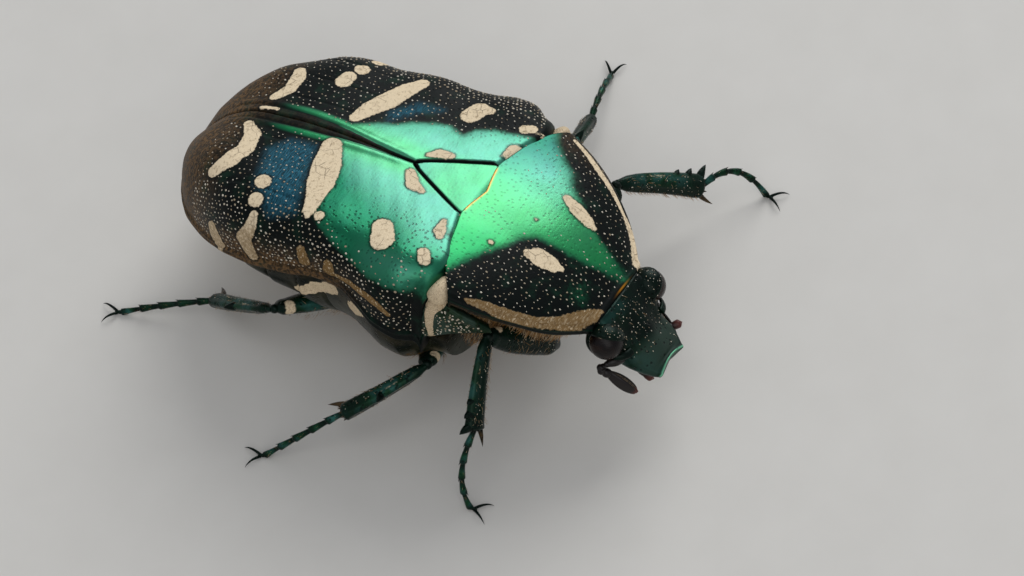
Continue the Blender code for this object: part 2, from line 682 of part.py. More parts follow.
place(build_pronotum(), "pronotum", beetle, trunk, EMERALD_SHELL)
place(build_scutellum(), "scutellum", beetle, trunk, EMERALD_SHELL)
place(build_pygidium(), "pygidium", beetle, trunk, DARK_GREEN_SHELL)
abdomen = place(build_abdomen(), "abdomen", beetle, trunk, DARK_GREEN_SHELL)
prosternum = place(build_prosternum(), "prosternum", beetle, trunk, DARK_GREEN_SHELL)
thorax = place(build_thorax(), "thorax", beetle, trunk, DARK_GREEN_SHELL)
head = place(build_head(), "head", beetle, trunk, DARK_GREEN_SHELL)
head_cuts = []
for label, side in (("right", -1), ("left", 1)):
    place(build_elytron(side), "elytron_" + label, beetle, trunk, EMERALD_SHELL)
    place(build_mesepimeron(side), "mesepimeron_" + label, beetle, trunk, CREAM_FELT)
    place(build_eye(side), "eye_" + label, beetle, trunk, EYE_BROWN)
    stalk, club = build_antenna(side)
    antenna = place(stalk, "antenna_" + label, beetle, trunk, FEELER_BROWN)
    boolean(antenna, [place(club, "club", beetle, trunk)], "UNION")
    place(build_palp(side), "palp_" + label, beetle, trunk, FEELER_BROWN)
    for form in (build_eye(side, GAP / 2), *build_antenna(side, GAP / 2), build_palp(side, GAP / 2)):
        head_cuts.append(place(form, "head_cutter", beetle, trunk))
collar = bmesh.new()
bmesh.ops.create_cube(collar, size=COLLAR_SIZE)
collar_centre = Vector((0, COLLAR_FRONT + COLLAR_SIZE / 2, COLLAR_LOW + COLLAR_SIZE / 2))
bmesh.ops.translate(collar, vec=collar_centre, verts=collar.verts)
head_cuts.append(place(collar, "collar_cutter", beetle, trunk))
boolean(head, head_cuts, "DIFFERENCE")

for label, leg in LEGS.items():
    place(build_femur(leg), "femur_" + label, beetle, stance, DARK_GREEN_SHELL)
    build_tibia(leg, "tibia_" + label, beetle, DARK_GREEN_SHELL)
    build_tarsus(leg, "tarsus_" + label, beetle, DARK_GREEN_SHELL)
for trunk_piece, pairs in ((prosternum, ("front",)), (thorax, ("middle", "hind")), (abdomen, ("hind",))):
    hip_cuts = [place(build_femur(leg, GAP), "hip_cutter", beetle, stance)
                for label, leg in LEGS.items() if label.startswith(pairs)]
    boolean(trunk_piece, hip_cuts, "DIFFERENCE")

# Sizes above are millimetres; the finished pieces are brought to metres together.
for piece in beetle.objects:
    piece.location *= MM
    if piece.type == "MESH":
        piece.data.transform(Matrix.Scale(MM, 4))
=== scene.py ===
"""Looks of a life-size display model of the green flower beetle Protaetia philippensis."""

import math

import bpy
import numpy as np
from mathutils import Matrix, Vector


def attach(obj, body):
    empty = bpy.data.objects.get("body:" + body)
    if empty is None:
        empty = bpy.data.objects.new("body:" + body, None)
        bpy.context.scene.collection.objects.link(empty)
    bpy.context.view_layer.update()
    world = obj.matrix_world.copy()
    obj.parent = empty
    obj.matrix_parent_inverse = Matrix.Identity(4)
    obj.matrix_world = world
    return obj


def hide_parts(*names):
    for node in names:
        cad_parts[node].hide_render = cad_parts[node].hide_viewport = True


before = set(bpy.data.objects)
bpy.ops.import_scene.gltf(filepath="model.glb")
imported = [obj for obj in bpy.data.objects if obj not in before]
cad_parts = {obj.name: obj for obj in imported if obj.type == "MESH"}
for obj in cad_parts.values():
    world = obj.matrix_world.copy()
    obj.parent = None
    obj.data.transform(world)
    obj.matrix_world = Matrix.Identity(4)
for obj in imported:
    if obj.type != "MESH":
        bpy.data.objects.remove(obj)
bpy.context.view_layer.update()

bl_info = {
    "name": "Flower beetle",
    "version": (1, 0, 0),
    "blender": (4, 5, 0),
    "location": "3D View > Sidebar > Beetle",
    "description": "Dresses a flower beetle's solids with fine shells, markings, scales and hairs",
    "category": "Object",
}

# Sizes are millimetres in the beetle's own axes: head towards -Y, its left towards +X, belly down.
MM = 0.001
ROOT = "root"
LEAN = math.radians(8.0)
TURN = np.array(Matrix.Rotation(LEAN, 3, "Y"))
PLACE = np.array((-2.59, -3.121, -1.113))
STANCE = np.array((-2.59, -3.121, 0.0))
BACKWARD = np.array((0, 1.0, 0))
# Height of the line inside the trunk that the back's skins face away from.
CORE_HEIGHT = 4.5
# First numbers of the random draws, so that each skin and coat comes out alike every time.
SEEDS = dict(
    wing_case=7, pronotum=3, head=11, underside=21, throat=23, side_plate=31, leg=40, scales=5, hairs=6)

# Dorsal midline, as (y, z).
DORSAL_LINE = (
    (-6.1, 6.8), (-5.0, 7.65), (-3.6, 8.5), (-2.0, 9.15), (0.0, 9.6), (1.5, 9.62), (3.2, 9.58),
    (5.0, 9.55), (7.1, 9.45), (9.1, 9.17), (11.2, 8.5), (12.5, 7.4), (13.4, 6.1), (13.9, 5.1),
)
# Outer margin of one wing case, as (y, half width, z).
WING_MARGIN = (
    (-0.05, 5.5, 6.0), (0.8, 6.05, 6.35), (1.6, 6.1, 6.55), (2.6, 5.8, 6.9), (3.6, 5.45, 7.15),
    (5.0, 5.3, 7.0), (6.3, 5.4, 6.65), (7.6, 5.4, 6.35), (8.7, 5.2, 6.05), (9.9, 4.75, 5.6),
    (11.4, 3.9, 5.1), (12.6, 2.9, 4.85), (13.4, 1.7, 4.75), (13.85, 0.7, 4.8),
)
# How far a wing case's front edge reaches forward, as (distance out, reach), fading behind the edge.
WING_FORWARD = (
    (0.0, 0.0), (1.5, 0.04), (2.2, 0.12), (3.1, 0.24), (3.7, 0.38), (4.2, 0.34), (4.8, 0.08), (5.2, -0.12),
    (5.5, -0.33), (7.0, -0.33),
)
WING_FADE = 0.1
WING_FRONT = 0.62
WING_LENGTH = 13.3
WING_EDGE = 0.3
SECTION_FRONT = 4.8
SECTION_REAR = 3.0
# Swellings of a wing case, as (x, y, spread, height), and how far they push it out and up.
WING_SWELLINGS = ((4.6, 1.2, 1.4, 0.26), (4.9, 4.8, 1.5, 0.36), (4.4, 9.2, 1.8, 0.34), (2.7, 11.2, 1.1, 0.2))
SWELLING_OUT = 0.6
SWELLING_UP = 0.8
# Lengths that a wing case's points are spread over, along it and across it.
WING_RUN = 14.2
WING_GIRTH = 8.2
# Grooves of its rear half, as (distance out, depth).
WING_STRIAE = ((1.3, 0.02), (2.6, 0.02), (4.02, 0.035))
# Under edge of its margin, as (distance out, drop), and its tucked front edge, as (distance back, drop).
WING_LIP = ((0.02, -0.06), (0.0, -0.16), (-0.1, -WING_EDGE))
WING_TUCK = ((-0.4, -0.5), (-0.34, -0.22), (-0.22, -0.08), (-0.1, -0.02))
# Painted shade: how much each case is painted duller toward its flank, the right case more than the left.
WING_PAINTED_SHADE = {-1: 0.95, 1: 0.55}
# Its white scales on back and flank, as (spacing, size), where the flank starts and where they end.
BACK_SCALES = ((0.27, 0.26), (0.055, 0.075, 0.02))
FLANK_SCALES = ((0.2, 0.2), (0.07, 0.088, 0.02))
FLANK_START = 4.3
SCALES_END = 11.5
SCUTELLUM_BASE = 0.42
SCUTELLUM_TIP = 3.25
SCUTELLUM_HALF = 1.5
# Side margin of the pronotum from the front corner back, as (share, half width, z, roundness).
PRONOTUM_SIDE = (
    (0.0, 2.0, 6.45, 2.2), (0.25, 3.35, 7.05, 2.2), (0.5, 4.2, 7.7, 2.3), (0.75, 4.8, 8.2, 2.6),
    (1.0, 5.15, 8.6, 3.2),
)
# Its front edge and its base, as (share out, y).
PRONOTUM_FRONT = ((0.0, -6.1), (0.6, -6.12), (1.0, -5.95))
PRONOTUM_BASE = ((0.0, 0.0), (0.29, 0.28), (0.42, 0.12), (0.6, -0.12), (0.83, -0.6), (1.0, -1.2))
# The notch of the base: how wide it is eased over the disc, and the power that keeps it near the edge.
NOTCH_EASE = 0.15
NOTCH_POWER = 8
PRONOTUM_RUN = 6.4
PRONOTUM_GIRTH = 5.9
PRONOTUM_LENGTH = 6.2
# Under edge of its side margin, as (distance out, drop), and its base and front, as (distance back, drop).
PRONOTUM_LIP = ((0.0, -0.07), (-0.02, -0.18), (-0.12, -0.28))
PRONOTUM_BASE_TUCK = ((0.02, -0.03), (0.02, -0.09), (-0.04, -0.18))
PRONOTUM_FRONT_TUCK = ((0.04, -0.16), (-0.02, -0.09), (-0.02, -0.03))
PRONOTUM_SCALES = ((0.24, 0.25), (0.054, 0.08, 0.02))
# How far the scutellum reaches under its neighbours, and its under edge, as (share of its width, drop).
SCUTELLUM_TUCK = 0.03
SCUTELLUM_LIP = ((1.0, -0.12), (0.9, -0.7))

# How much the felt swells over the skin.
FELT_RISE = 0.012
# Pale felt marks as chains of discs (distance from the midline over the surface, y, radius).
MARGIN_MARKS = (
    ((5.2, 7.83, 0.17), (5.8, 7.85, 0.26), (6.4, 8.1, 0.38), (7.2, 7.75, 0.3)),
    ((6.2, 10.0, 0.24), (6.9, 9.8, 0.36), (7.4, 9.5, 0.25)),
    ((6.05, 5.4, 0.2), (6.7, 5.25, 0.28)),
    ((6.35, 4.1, 0.22), (6.8, 4.1, 0.3)),
    ((6.9, 4.2, 0.1), (6.75, 3.0, 0.16), (7.05, 1.9, 0.18), (7.6, 1.0, 0.12)),
)
WING_MARKS = {
    -1: MARGIN_MARKS + (
        ((0.82, 6.7, 0.42), (1.8, 6.33, 0.6), (2.8, 6.02, 0.58), (3.55, 5.84, 0.4), (4.3, 5.68, 0.27),
         (4.6, 5.6, 0.12)),
        ((4.45, 5.15, 0.22),),
        ((3.74, 8.17, 0.34),),
        ((4.6, 8.01, 0.33),),
        ((0.9, 10.6, 0.2), (1.45, 10.05, 0.36), (2.3, 9.87, 0.38), (3.1, 10.15, 0.42), (3.7, 10.55, 0.3)),
        ((3.82, 2.6, 0.44), (4.45, 2.25, 0.5)),
        ((4.3, 0.45, 0.24), (4.6, 0.25, 0.24)),
        ((2.35, 0.62, 0.12), (2.9, 0.5, 0.26), (3.2, 0.35, 0.15)),
        ((0.6, 3.15, 0.2), (1.15, 2.75, 0.3), (1.3, 2.25, 0.15)),
    ),
    1: MARGIN_MARKS + (
        ((1.05, 6.7, 0.26), (1.8, 6.42, 0.42), (2.6, 6.02, 0.48), (3.5, 5.66, 0.42), (4.15, 5.3, 0.28)),
        ((3.45, 2.65, 0.42), (3.95, 2.5, 0.42), (4.05, 2.05, 0.2)),
        ((3.8, 0.36, 0.22), (4.02, 0.05, 0.22)),
        ((2.0, 0.34, 0.1), (2.6, 0.22, 0.22), (2.85, 0.08, 0.12)),
        ((0.62, 3.0, 0.12), (0.88, 2.66, 0.26), (0.98, 2.2, 0.18)),
        ((2.75, 8.25, 0.36), (3.05, 8.2, 0.34)),
        ((3.75, 7.95, 0.34),),
        ((4.75, 7.75, 0.28), (5.15, 7.6, 0.2)),
        ((0.95, 10.45, 0.22), (1.6, 10.1, 0.28), (2.3, 10.15, 0.33), (2.7, 10.3, 0.25)),
        ((0.2, 10.6, 0.12), (0.28, 9.9, 0.09)),
    ),
}
# Marks of the pronotum, the distance from the midline negative on the right.
PRONOTUM_MARKS = (
    ((-1.5, -2.8, 0.22), (-1.33, -3.2, 0.44), (-1.2, -3.65, 0.36), (-1.08, -4.02, 0.14)),
    ((-2.11, -1.4, 0.12),),
    ((-5.25, -1.9, 0.13), (-4.85, -2.6, 0.22), (-4.6, -3.2, 0.26), (-4.22, -3.75, 0.22),
     (-3.72, -4.35, 0.18), (-3.05, -4.95, 0.19), (-2.3, -5.45, 0.26), (-1.6, -5.82, 0.2),
     (-1.2, -5.98, 0.08)),
    ((1.9, -2.7, 0.2), (1.75, -3.2, 0.33), (1.64, -3.75, 0.28), (1.58, -4.05, 0.13)),
    ((5.0, -1.5, 0.12), (4.67, -2.29, 0.16), (4.3, -3.0, 0.17), (4.0, -3.7, 0.17), (3.4, -4.66, 0.16),
     (2.95, -5.13, 0.16), (2.4, -5.57, 0.18), (1.8, -5.94, 0.14)),
    ((0.09, -2.23, 0.05),),
)
# Edges of the green fields, as closed outlines in the same measures. The right case's green reaches much
# further over its flank than the left's: that difference is a painted reflection, while the green and black
# fields themselves are the shells' own pattern.
WING_GREEN = {
    -1: ((-1.5, 7.9), (0.55, 6.9), (1.6, 5.9), (4.4, 5.6), (4.9, 5.0), (5.4, 4.1), (5.8, 3.1), (6.25, 2.0),
         (6.4, 1.2), (6.3, 0.6), (5.9, 0.1), (5.2, -0.25), (4.4, -0.8), (-1.5, -0.8)),
    1: ((-1.5, 7.9), (0.5, 7.0), (1.1, 6.0), (1.6, 5.06), (2.05, 4.5), (2.4, 3.7), (2.6, 3.1), (2.35, 2.4),
        (2.85, 2.1), (3.2, 1.4), (3.4, 0.65), (3.9, -0.8), (-1.5, -0.8)),
}
WING_BLUE = {
    -1: ((1.1, 7.3), (4.6, 6.2), (5.0, 7.2), (3.9, 8.4), (2.0, 9.0), (1.2, 8.4)),
    1: ((1.6, 5.4), (2.6, 4.6), (3.2, 3.8), (3.0, 4.8), (2.0, 5.6)),
}
PRONOTUM_GREEN = (
    (-4.9, -0.7), (-3.5, -1.2), (-2.7, -1.6), (-2.0, -2.05), (-1.25, -2.3), (-0.75, -2.75), (-0.42, -4.0),
    (0.0, -5.2), (0.4, -6.4), (1.2, -6.4), (1.4, -4.6), (1.75, -3.9), (2.75, -2.6), (3.35, -2.3),
    (3.75, -1.7), (4.2, -1.15), (4.95, -0.9), (5.4, 1.0), (-5.2, 1.0),
)


def curve(pairs, x, column=1):
    """Smooth monotone curve through rows of a short table, at x."""
    table = np.array(pairs, float)
    xs, ys = table[:, 0], table[:, column]
    width = np.diff(xs)
    slope = np.diff(ys) / width
    inner = (slope[:-1] * width[1:] + slope[1:] * width[:-1]) / (width[1:] + width[:-1])
    inner = np.where(slope[:-1] * slope[1:] > 0, inner, 0.0)
    tangent = np.concatenate((slope[:1], inner, slope[-1:]))
    x = np.clip(x, xs[0], xs[-1])
    i = np.clip(np.searchsorted(xs, x, side="right") - 1, 0, len(width) - 1)
    s = (x - xs[i]) / width[i]
    start = (1 + 2 * s) * (1 - s) ** 2 * ys[i] + s * (1 - s) ** 2 * width[i] * tangent[i]
    return start + s * s * (3 - 2 * s) * ys[i + 1] + s * s * (s - 1) * width[i] * tangent[i + 1]


def fade(low, high, x):
    """Smooth step from 0 at low to 1 at high."""
    t = np.clip((x - low) / (high - low), 0, 1)
    return t * t * (3 - 2 * t)


def hump(x, centre, spread):
    """Smooth bump of height 1 at the centre."""
    return np.exp(-((x - centre) / spread) ** 2)


def unit(vector):
    return vector / np.linalg.norm(vector)


def pair(a, b):
    return np.stack(np.broadcast_arrays(a, b), -1)


def turns(sides):
    """Angles of the points round a ring."""
    return np.linspace(0, 2 * math.pi, sides, endpoint=False)


def squared(wave, power):
    """A sine or cosine drawn to its ends by a power under 1, which squares the section."""
    return np.sign(wave) * np.abs(wave) ** power


def ball_ways(reach, rows, sides):
    """Ways from a ball's middle to its points, in rings up to the angle reach above and below."""
    lift = np.linspace(-reach, reach, rows)[:, None]
    turn = turns(sides)
    return np.stack(np.broadcast_arrays(
        np.cos(lift) * np.cos(turn), np.cos(lift) * np.sin(turn), np.sin(lift)), -1)


def side_name(side):
    return "left" if side > 0 else "right"


def scutellum_half(y):
    """Half width of the scutellum at y."""
    s = np.clip((y - SCUTELLUM_BASE) / (SCUTELLUM_TIP - SCUTELLUM_BASE), 0, 1)
    return SCUTELLUM_HALF * (1 - s) ** 0.8 * (1 - 0.12 * s)


def arch(a, roundness):
    """Across and upward shares of a superellipse quarter, a from 0 at the crown to 1 at the rim."""
    turn = a * math.pi / 2
    return np.sin(turn) ** (2 / roundness), np.maximum(np.cos(turn), 0) ** (2 / roundness)


def seam_edge(y, seam):
    """Distance of a wing case's inner edge from the midline."""
    return np.where(y < SCUTELLUM_TIP + seam, scutellum_half(y - seam) + seam, seam / 2)


def wing_surface(a, v, side, seam):
    """Outer surface of a wing case: a from the suture to the margin, v from base to apex."""
    rows = np.array(WING_MARGIN)
    margin_y = np.interp(v * (len(rows) - 1), range(len(rows)), rows[:, 0])
    suture_y = WING_FRONT + WING_LENGTH * v
    inner = seam_edge(suture_y, seam)
    across, upward = arch(a, SECTION_FRONT + (SECTION_REAR - SECTION_FRONT) * v)
    low = curve(WING_MARGIN, margin_y, 2)
    x = inner + (curve(WING_MARGIN, margin_y) - inner) * across
    y = suture_y + (margin_y - suture_y) * across
    y = y - curve(WING_FORWARD, x) * np.maximum(0, 1 - v / WING_FADE) ** 2
    z = low + (curve(DORSAL_LINE, suture_y) - low) * upward
    swell = sum(h * np.exp(-((x - cx) ** 2 + (y - cy) ** 2) / r ** 2) for cx, cy, r, h in WING_SWELLINGS)
    swell = swell * np.minimum(1, 3 * upward) * np.minimum(1, 4 * a)
    return np.stack((side * (x + SWELLING_OUT * swell), y, z + SWELLING_UP * swell), -1)


def pronotum_surface(a, v):
    """Outer surface of the pronotum: a from 0 at the midline to 1 at the margin, v from front to base."""
    width, height, roundness = (curve(PRONOTUM_SIDE, v, column) for column in (1, 2, 3))
    across, upward = arch(np.abs(a), roundness)
    front = curve(PRONOTUM_FRONT, across)
    base = curve(PRONOTUM_BASE, across)
    even = curve(PRONOTUM_BASE, np.sqrt(across ** 2 + NOTCH_EASE ** 2))
    y = front + (even - front) * v + (base - even) * v ** NOTCH_POWER
    z = height + (curve(DORSAL_LINE, PRONOTUM_FRONT[0][1] * (1 - v)) - height) * upward
    return np.stack((np.sign(a) * width * across, y, z + 0 * across), -1)


def chain_reach(across, along, marks):
    """How deep each place lies in the nearest mark, negative outside."""
    best = np.full(np.shape(across), -9.0)
    here = np.stack((across, along), -1)
    for mark in marks:
        discs = [np.array(disc) for disc in mark]
        for start, end in zip(discs, discs[1:] or discs):
            step = end[:2] - start[:2]
            t = np.clip(((here - start[:2]) @ step) / max(step @ step, 1e-9), 0, 1)
            gap = np.linalg.norm(here - start[:2] - t[..., None] * step, axis=-1)
            best = np.maximum(best, start[2] + t * (end[2] - start[2]) - gap)
    return best


def field_reach(across, along, outline):
    """Signed distance into a closed outline, positive inside."""
    here = np.stack((across, along), -1)
    nearest = np.full(np.shape(across), 99.0)
    inside = np.zeros(np.shape(across), bool)
    corners = np.array(outline)
    for start, end in zip(corners, np.roll(corners, -1, axis=0)):
        step = end - start
        t = np.clip(((here - start) @ step) / (step @ step), 0, 1)
        nearest = np.minimum(nearest, np.linalg.norm(here - start - t[..., None] * step, axis=-1))
        spans = (start[1] > along) != (end[1] > along)
        rise = step[1] if abs(step[1]) > 1e-9 else 1e-9
        inside ^= spans & (across < start[0] + step[0] * (along - start[1]) / rise)
    return np.where(inside, nearest, -nearest)


def body_to_world(points):
    """Beetle's axes in millimetres to the stage's in metres."""
    return (points @ TURN.T + PLACE) * MM


def stance_to_world(points):
    """The same for the legs, which are given upright over the floor."""
    return (points + STANCE) * MM


def even_rows(surface, shares, count, warp=2.4, samples=600):
    """Points of a surface at even steps across each row, with the distance run from its first edge."""
    fine = np.linspace(0, 1, samples) ** warp
    points, reach = [], []
    for v in shares:
        line = surface(fine, v)
        run = np.concatenate(([0], np.cumsum(np.linalg.norm(np.diff(line, axis=0), axis=1))))
        steps = np.linspace(0, run[-1], count)
        points.append(surface(np.interp(steps, run, fine), v))
        reach.append(steps)
    return np.array(points), np.array(reach)


def surface_normals(points, upward):
    """Unit normals of a grid of points, turned to the side that upward names."""
    normal = np.cross(np.gradient(points, axis=0), np.gradient(points, axis=1))
    normal /= np.linalg.norm(normal, axis=-1, keepdims=True) + 1e-12
    facing = np.sign(np.sum(normal * upward, axis=-1, keepdims=True))
    return normal * np.where(facing == 0, 1, facing)


def away_from_core(points):
    """Ways from the trunk's inner line out to the points."""
    y = points[..., 1]
    return points - np.stack((0 * y, y, 0 * y + CORE_HEIGHT), -1)


def mesh_object(name, vertices, faces, fields=None, charts=None):
    """Object from arrays: faces as quads or triangles, fields as point attributes, charts as UV maps."""
    mesh = bpy.data.meshes.new(name)
    mesh.from_pydata(vertices.tolist(), [], faces)
    for field, values in (fields or {}).items():
        made = mesh.attributes.new(field, "FLOAT", "POINT")
        made.data.foreach_set("value", np.asarray(values, np.float32).ravel())
    corners = np.empty(len(mesh.loops), np.int32)
    mesh.loops.foreach_get("vertex_index", corners)
    for chart, places in (charts or {}).items():
        made = mesh.uv_layers.new(name=chart)
        made.data.foreach_set("uv", np.asarray(places, np.float32)[corners].ravel())
    mesh.shade_smooth()
    mesh.update()
    made = bpy.data.objects.new(name, mesh)
    bpy.context.scene.collection.objects.link(made)
    return made


def ring_form(rings, fields=None, chart=None):
    """Closed and capped tube through rings of points: its points, outward faces, fields and chart."""
    count, around = rings.shape[:2]
    points = np.concatenate((rings.reshape(-1, 3), rings[:1].mean(1), rings[-1:].mean(1)))
    index = np.arange(count * around).reshape(count, around)
    turned = np.roll(index, -1, axis=1)
    quads = np.stack((index[:-1], turned[:-1], turned[1:], index[1:]), -1).reshape(-1, 4)
    first = [(a, count * around, b) for a, b in zip(index[0].tolist(), turned[0].tolist())]
    last = [(b, count * around + 1, a) for a, b in zip(index[-1].tolist(), turned[-1].tolist())]
    corner = points[quads] - points.mean(0)
    volume = np.einsum("ij,ij->i", corner[:, 0], np.cross(corner[:, 1], corner[:, 2])).sum()
    volume += np.einsum("ij,ij->i", corner[:, 0], np.cross(corner[:, 2], corner[:, 3])).sum()
    faces = [tuple(f) for f in quads.tolist()] + first + last
    if volume < 0:
        faces = [f[::-1] for f in faces]
    flat = {}
    for field, values in (fields or {}).items():
        values = np.broadcast_to(np.asarray(values, float), (count, around))
        flat[field] = np.concatenate((values.ravel(), (values[0].mean(), values[-1].mean())))
    if chart is None:
        chart = pair(np.arange(around) * 0.1, np.arange(count)[:, None] * 0.1)
    chart = np.concatenate((chart.reshape(-1, 2), chart[:1].mean(1), chart[-1:].mean(1)))
    return points, faces, flat, chart


def joined(name, forms, to_world):
    """One object from several closed forms."""
    points, faces, charts = [], [], []
    names = sorted({field for form in forms for field in form[2]})
    fields = {field: [] for field in names}
    start = 0
    for form_points, form_faces, form_fields, chart in forms:
        points.append(form_points)
        faces += [tuple(i + start for i in face) for face in form_faces]
        for field in names:
            fields[field].append(form_fields.get(field, np.zeros(len(form_points))))
        charts.append(chart)
        start += len(form_points)
    fields = {field: np.concatenate(values) for field, values in fields.items()}
    charts = {"Chart": np.concatenate(charts)}
    return mesh_object(name, to_world(np.concatenate(points)), faces, fields, charts)


def dress(piece, look, slot, *nodes):
    """Gives a finished piece its material and place in the frame; the slot is not used."""
    piece.data.materials.clear()
    piece.data.materials.append(look)
    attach(piece, ROOT)
    if nodes:
        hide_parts(*nodes)
    return piece


class Wire:
    """A node's output; arithmetic on it adds Math nodes."""

    def __init__(self, graph, socket):
        self.graph = graph
        self.socket = socket

    def math(self, operation, *values):
        return self.graph.node("ShaderNodeMath", dict(operation=operation), dict(enumerate(values)))

    def __add__(self, other):
        return self.math("ADD", self, other)

    def __sub__(self, other):
        return self.math("SUBTRACT", self, other)

    def __rsub__(self, other):
        return self.math("SUBTRACT", other, self)

    def __mul__(self, other):
        return self.math("MULTIPLY", self, other)

    def most(self, other):
        return self.math("MAXIMUM", self, other)

    def step(self, low, high):
        """Smooth step of this value from 0 at low to 1 at high."""
        values = {"Value": self, "From Min": low, "From Max": high, "To Min": 0.0, "To Max": 1.0}
        return self.graph.node("ShaderNodeMapRange", dict(interpolation_type="SMOOTHSTEP"), values)


class Finish:
    """A material's node tree, with its Principled shader."""

    def __init__(self, name):
        self.material = bpy.data.materials.new(name)
        self.material.use_nodes = True
        self.tree = self.material.node_tree
        self.shader = self.tree.nodes["Principled BSDF"]

    def feed(self, socket, value):
        if isinstance(value, Wire):
            self.tree.links.new(value.socket, socket)
        elif hasattr(socket.default_value, "__len__") and len(socket.default_value) == 4:
            socket.default_value = (*value[:3], 1)
        else:
            socket.default_value = value

    def node(self, kind, settings=None, values=None, output=0):
        made = self.tree.nodes.new(kind)
        for key, value in (settings or {}).items():
            setattr(made, key, value)
        for key, value in (values or {}).items():
            self.feed(made.inputs[key], value)
        return Wire(self, made.outputs[output])

    def blend(self, first, second, share):
        return self.node("ShaderNodeMix", dict(data_type="RGBA"), {0: share, 6: first, 7: second}, 2)

    def field(self, name):
        return self.node("ShaderNodeAttribute", dict(attribute_name=name), output="Fac")

    def chart(self, scale=(1, 1, 1)):
        """The piece's own chart, in millimetres times scale."""
        where = self.node("ShaderNodeUVMap", dict(uv_map="Chart"))
        return self.node("ShaderNodeVectorMath", dict(operation="MULTIPLY"), {0: where, 1: scale})

    def place(self, scale=(1, 1, 1)):
        """Object coordinates in millimetres times scale."""
        where = self.node("ShaderNodeTexCoord", output="Object")
        scale = tuple(s / MM for s in scale)
        return self.node("ShaderNodeVectorMath", dict(operation="MULTIPLY"), {0: where, 1: scale})

    def noise(self, where, scale, detail=3.0, rough=0.55):
        values = {"Vector": where, "Scale": scale, "Detail": detail, "Roughness": rough}
        return self.node("ShaderNodeTexNoise", None, values)

    def cells(self, where, scale, randomness=1.0, feature="F1", dimensions="3D"):
        settings = dict(feature=feature, voronoi_dimensions=dimensions)
        values = {"Vector": where, "Scale": scale, "Randomness": randomness}
        return self.node("ShaderNodeTexVoronoi", settings, values)

    def finish(self, colour, roughness, metallic, height=None, more=None):
        """Feeds the shader; height is in millimetres, and more holds further sockets by name."""
        values = {"Base Color": colour, "Roughness": roughness, "Metallic": metallic, **(more or {})}
        if height is not None:
            bump = {"Strength": 1.0, "Distance": MM, "Height": height}
            values["Normal"] = self.node("ShaderNodeBump", None, bump)
        for key, value in values.items():
            self.feed(self.shader.inputs[key], value)
        return self.material


FLOOR_COLOURS = (0.66, 0.63, 0.58), (0.72, 0.69, 0.64)
EYE_COLOURS = (0.004, 0.002, 0.002), (0.022, 0.009, 0.005)
FEELER_COLOURS = (0.008, 0.005, 0.004), (0.08, 0.010, 0.005)
FEELER_DOWN = (0.24, 0.17, 0.10)
SCALE_COLOURS = (0.36, 0.28, 0.18), (0.72, 0.65, 0.53)


